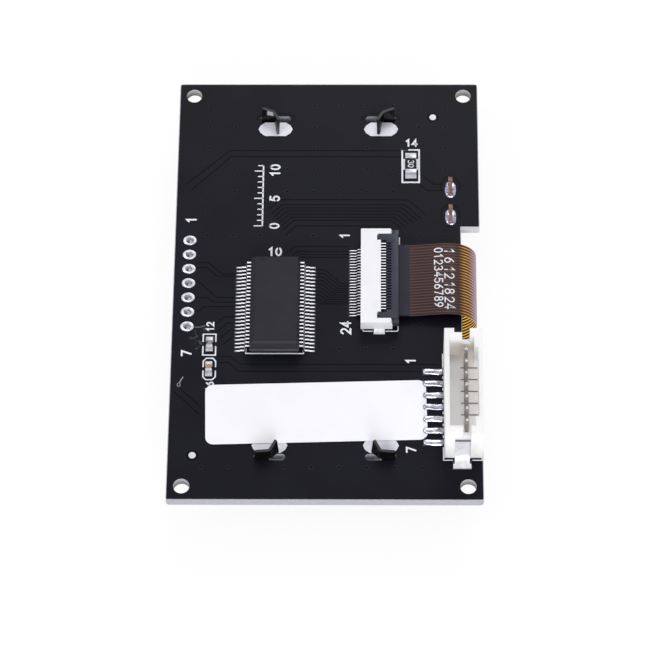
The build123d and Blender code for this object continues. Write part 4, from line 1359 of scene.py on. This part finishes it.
    def dots(self) -> None:
        """Dots of covered holes on a square net, each a shallow dark dish with a pale rim."""
        dark = MeshBook("covered_holes")
        rims = MeshBook("covered_hole_rims")
        row, first = self.low_row
        radius, wide = self.ring
        places = [(x, y) for y in self.net_y for x in np.arange(*self.net_x)]
        places += [*self.loose, *((x, row) for x in np.arange(first, 19.0, self.net_x[2]))]
        for x, y in places:
            if any(a < x < b and c < y < d for a, b, c, d in self.busy) and y < 30:
                continue
            dark.pillow(arc(x, y, self.dish, self.dish, 0, 330, 12), BOARD_TOP - 0.004, 0.01, 2)
            rims.ribbon(arc(x, y, radius, radius, 0, 350, 15), wide, self.low, self.thick)
        dark.build(GROOVE, "board", smooth=False)
        rims.build(RELIEF, "board", smooth=False)


@dataclass
class Solder:
    """Solder on the pads: the header's tails, the lamp's leads and the rings of the plated holes.

    Attributes:
        tail_x: where the tails' beads start.
        tail_pitch: distance from one tail to the next.
        tail_wide: width of a tail.
        tail_half: half the width of a bead.
        toe: length of its rounded toe.
        tail_rise: its height at the toe, and how much it falls for each millimetre.
        ripple: the share by which its height ripples.
        sway: how far its middle line strays to the sides.
        ridge_x: distance from the chip's middle to the outer ends of its leads.
        ridge: half the width and the height of a ridge of tin there.
        lamp_x: middle of the lamp's joints.
        lamp_y: their places.
        lamp_half: half their width and half their length.
        lamp_rise: their height, what their sides add to it and how much they lean.
        lobe: how far the lobes of their outline stand out.
        ring_place: X and Y of the first plated hole.
        ring_pitch: distance from one to the next.
        bore: reach and radius of a hole's bore.
        ring_grow: how much wider and longer than the bore a ring is at its rim.
        ring_profile: reach and height of the points of a ring's section.
        dots: the two placing dots.
        flux_place: the dried drop of flux.
    """

    tail_x: float = 14.36
    tail_pitch: float = 2.0
    tail_wide: float = 0.5
    tail_half: float = 0.54
    toe: float = 0.5
    tail_rise: Pair = (0.46, 0.045)
    ripple: float = 0.10
    sway: float = 0.03
    ridge_x: float = 5.12
    ridge: Pair = (0.12, 0.17)
    lamp_x: float = 18.85
    lamp_y: Pair = (17.1, 12.1)
    lamp_half: Pair = (0.96, 1.55)
    lamp_rise: Triple = (0.42, 0.16, 0.06)
    lobe: float = 0.04
    ring_place: Pair = (-20.95, 7.86)
    ring_pitch: float = 2.54
    bore: Pair = (0.485, 0.49)
    ring_grow: Pair = (0.535, 0.36)
    ring_profile: tuple = ((1.0, 8.9), (0.97, 8.955), (0.8, 8.98), (0.6, 8.95), (0.5, 8.87), (0.43, 8.7),
                           (0.42, 7.5), (0.5, 7.3), (0.6, 7.24), (0.8, 7.22), (0.97, 7.245), (1.0, 7.3))
    dots: tuple = ((16.25, 30.5), (-19.55, -29.4))
    flux_place: Pair = (-21.9, -17.45)

    def build(self) -> None:
        """Make the joints."""
        self.tails()
        self.pad_ridges()
        self.lamp_joints()
        self.rings()
        self.fiducial_rings()
        self.flux_mark()

    def tails(self) -> None:
        """A long bead along each tail, round at its toe and fuller there.

        Rows across the bead run from its toe to the shroud. Each is a half oval, whose
        half width grows as a quarter circle over the toe and whose height falls slowly
        and ripples a little along the way.
        """
        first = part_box("header_pins")[0][1] / MM + self.tail_wide / 2
        book = MeshBook("tail_solder")
        along = np.concatenate([1 - np.cos(np.linspace(0.15, 1.57, 7)), np.linspace(1.3, 6.15, 12)])
        along *= self.toe
        angle = np.linspace(0, math.pi, 13)
        full = np.sqrt(np.clip(1 - (1 - np.clip(along / self.toe, 0, 1)) ** 2, 0.02, 1))
        high, fall = self.tail_rise
        for number in range(7):
            y = first + number * self.tail_pitch
            ripple = 1 + self.ripple * np.sin(along * 3.1 + number * 1.7) * np.clip(along - 0.4, 0, 1)
            height = (high - fall * along) * full * ripple
            sway = self.sway * np.sin(along * 2.3 + number * 2.1)
            grid = np.zeros((len(along), len(angle), 3))
            grid[..., 0] = (self.tail_x + along)[:, None]
            grid[..., 1] = y + sway[:, None] + (self.tail_half * full)[:, None] * np.cos(angle)
            grid[..., 2] = BOARD_TOP + 0.04 + height[:, None] * np.sin(angle)
            book.grid(grid[:, ::-1], close_v=True, cap=True)
        book.build(TAIL_SOLDER, "solder")

    def pad_ridges(self) -> None:
        """A low ridge of tin on the outer end of each of the chip's pads.

        Each ridge is a half oval carried outward from the lead's toe.
        """
        book = MeshBook("pad_ridges")
        angle = np.linspace(0, math.pi, 7)
        reach = np.array([0.0, 0.15, 0.5, 0.75, 0.84])
        size = np.array([1.0, 0.9, 0.8, 0.65, 0.2])
        half, high = self.ridge
        for side in (-1, 1):
            for number in range(24):
                y = CHIP_MIDDLE[1] + (number - 11.5) * CHIP_PITCH
                grid = np.zeros((len(reach), len(angle), 3))
                grid[..., 0] = (CHIP_MIDDLE[0] + side * (self.ridge_x + reach))[:, None]
                grid[..., 1] = y - side * half * size[:, None] * np.cos(angle)
                grid[..., 2] = BOARD_TOP + 0.04 + high * size[:, None] * np.sin(angle)
                book.grid(grid, close_v=True, cap=True)
        book.build(LEAD_TIN, "solder")

    def lamp_joints(self) -> None:
        """A lobed mound over each of the lamp's pads, which takes the place of the plain joint.

        Its outline is an oval with squarer corners: the cosine and sine are taken to the
        power 0.75, with their signs kept.
        """
        book = MeshBook("lamp_joints")
        wide, long = self.lamp_half
        angle = np.radians(np.linspace(0, 350, 36))
        side, end = (np.sign(share) * np.abs(share) ** 0.75 for share in (np.cos(angle), np.sin(angle)))
        high, sides, lean = self.lamp_rise
        rise = high + sides * np.abs(np.cos(angle)) - lean * np.sin(angle)
        for number, y in enumerate(self.lamp_y):
            lobes = wide + self.lobe * np.cos(2 * angle + number)
            outline = np.stack([self.lamp_x + lobes * side, y + long * end], 1)
            book.pillow(outline, BOARD_TOP, rise, 7)
        piece = book.build(SOLDER, "solder")
        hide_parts("lamp_solder")

    def rings(self) -> None:
        """Rounded rings on both faces, joined by a barrel, round each plated hole.

        The section goes once round the hole. At the bore's reach it is a circle, and at a
        reach of 1 an oval, with even steps between.
        """
        book = MeshBook("plated_holes")
        turn = np.radians(np.linspace(0, 352.5, 48))[:, None]
        reach, height = np.array(self.ring_profile).T
        inner, bore = self.bore
        share = (reach - inner) / (1 - inner)
        x, first = self.ring_place
        across, along = self.ring_grow
        for number in range(7):
            grid = np.zeros((len(turn), len(reach), 3))
            grid[..., 0] = x + np.cos(turn) * (bore + share * across)
            grid[..., 1] = first - self.ring_pitch * number + np.sin(turn) * (bore + share * along)
            grid[..., 2] = height
            book.grid(grid, close_u=True, close_v=True)
        piece = book.build(RING_TIN, "tin")
        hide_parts("row_pads")

    def fiducial_rings(self) -> None:
        """The bare gap round each of the two placing dots."""
        book = MeshBook("dot_gaps")
        for x, y in self.dots:
            book.ribbon(arc(x, y, 0.72, 0.72, 0, 352, 24), 0.34, BOARD_TOP - 0.006, 0.012)
        book.build(GROOVE, "board", smooth=False)

    def flux_mark(self) -> None:
        """A dried drop of flux near the board's left edge: a small ring with a short tail."""
        book = MeshBook("flux_mark")
        x, y = self.flux_place
        low = BOARD_TOP - 0.005
        book.ribbon(arc(x, y, 0.22, 0.30, 70, 400, 15), 0.11, low, 0.015)
        tail = np.array([(x + 0.10, y + 0.28), (x + 0.28, y + 0.75), (x + 0.62, y + 1.30)])
        book.ribbon(tail, 0.17, low, 0.015)
        book.build(FLUX, "board", smooth=False)


@dataclass
class Studio:
    """Floor, light and camera.

    Attributes:
        lens: focal length in millimetres.
        sensor: width of its sensor in millimetres.
        azimuth: turn of the camera about Z, in degrees.
        elevation: its height above the horizon, in degrees.
        roll: its turn about its own axis, in degrees.
        distance: from the target, in millimetres.
        target: the point it looks at, in millimetres.
        floor_span: side of the floor in millimetres.
        floor_z: its height, just below the object.
        floor_tone: how much of the light it scatters.
        floor_glow: strength of its own white.
        floor_share: the glow's share in its look.
        world_light: strength of the even light.
        clip: the camera's nearest and furthest reach in metres.
        lamps_wanted: each lamp's name, place and size in metres, and power in watts.
    """

    lens: float = 188.603
    sensor: float = 36.0
    azimuth: float = 1.706
    elevation: float = 59.379
    roll: float = -1.392
    distance: float = 511.632
    target: Triple = (-0.207, -7.102, BOARD_TOP)
    floor_span: float = 4000.0
    floor_z: float = -0.02
    floor_tone: float = 0.93
    floor_glow: float = 1.03
    floor_share: float = 0.88
    world_light: float = 0.38
    clip: Pair = (0.05, 20.0)
    lamps_wanted: tuple = (
        ("back_lamp", (0.10, 0.72, 0.56), 0.5, 3.4),
        ("side_lamp", (-0.55, -0.15, 0.55), 0.35, 1.6),
        ("front_lamp", (0.15, -0.70, 0.35), 0.5, 3.4),
    )

    def build(self) -> None:
        """Make everything round the object."""
        self.floor()
        self.world()
        self.lamps()
        self.camera()

    def floor(self) -> None:
        """A white floor, which shows only the object's soft shadow."""
        half = self.floor_span * MM / 2
        mesh = bpy.data.meshes.new("floor")
        places = [(-half, -half), (half, -half), (half, half), (-half, half)]
        mesh.from_pydata([(x, y, self.floor_z * MM) for x, y in places], [], [(0, 1, 2, 3)])
        plane = bpy.data.objects.new("floor", mesh)
        bpy.context.scene.collection.objects.link(plane)
        graph = Graph(bpy.data.materials.new("studio floor"))
        base = graph.node("ShaderNodeBsdfDiffuse", {}, {"Color": (self.floor_tone,) * 3})
        glow = graph.node("ShaderNodeEmission", {}, {"Color": (1.0, 1.0, 1.0), "Strength": self.floor_glow})
        shade = graph.node("ShaderNodeMixShader", {}, [self.floor_share, base, glow])
        mesh.materials.append(graph.close(shade))

    def world(self) -> None:
        """A world that is white to the camera and in reflections and gives a plain light."""
        graph = Graph(bpy.data.worlds.new("studio"))
        rays = ("Is Camera Ray", "Is Glossy Ray", "Is Transmission Ray")
        seen, mirrored, through = (graph.node("ShaderNodeLightPath", out=ray) for ray in rays)
        white = (1.0, 1.0, 1.0)
        light = graph.node("ShaderNodeBackground", {}, {"Color": white, "Strength": self.world_light})
        plain = graph.node("ShaderNodeBackground", {}, {"Color": white, "Strength": 1.0})
        shade = graph.node("ShaderNodeMixShader", {}, [seen.most(mirrored).most(through), light, plain])
        bpy.context.scene.world = graph.close(shade)

    def lamps(self) -> None:
        """Soft lamps behind the object, at its left and in front of it."""
        for name, place, size, power in self.lamps_wanted:
            data = bpy.data.lights.new(name, "AREA")
            data.shape = "DISK"
            data.size = size
            data.energy = power
            lamp = bpy.data.objects.new(name, data)
            lamp.location = place
            lamp.rotation_euler = Vector(place).to_track_quat("Z", "Y").to_euler()
            bpy.context.scene.collection.objects.link(lamp)

    def camera(self) -> None:
        """The camera, as solved from the picture."""
        data = bpy.data.cameras.new("camera")
        data.lens = self.lens
        data.sensor_width = self.sensor
        data.clip_start, data.clip_end = self.clip
        a, e, r = (math.radians(angle) for angle in (self.azimuth, self.elevation, self.roll))
        back = np.array([math.sin(a) * math.cos(e), -math.cos(a) * math.cos(e), math.sin(e)])
        right = np.array([math.cos(a), math.sin(a), 0.0])
        above = np.cross(back, right)
        right, above = math.cos(r) * right + math.sin(r) * above, math.cos(r) * above - math.sin(r) * right
        place = (np.array(self.target) + back * self.distance) * MM
        matrix = Matrix.Identity(4)
        for row in range(3):
            matrix[row] = (right[row], above[row], back[row], place[row])
        camera = bpy.data.objects.new("camera", data)
        camera.matrix_world = matrix
        bpy.context.scene.collection.objects.link(camera)
        bpy.context.scene.camera = camera


def main() -> None:
    """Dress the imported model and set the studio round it."""
    logging.basicConfig(level=logging.INFO, format="%(message)s")
    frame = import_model()
    dress_nodes(frame["nodes"])
    Mouldings().build()
    Print().build()
    CablePrint().build()
    Trim().build()
    Traces().build()
    Solder().build()
    Studio().build()
    bpy.context.scene.view_settings.view_transform = "Standard"


if __name__ == "__main__":
    main()
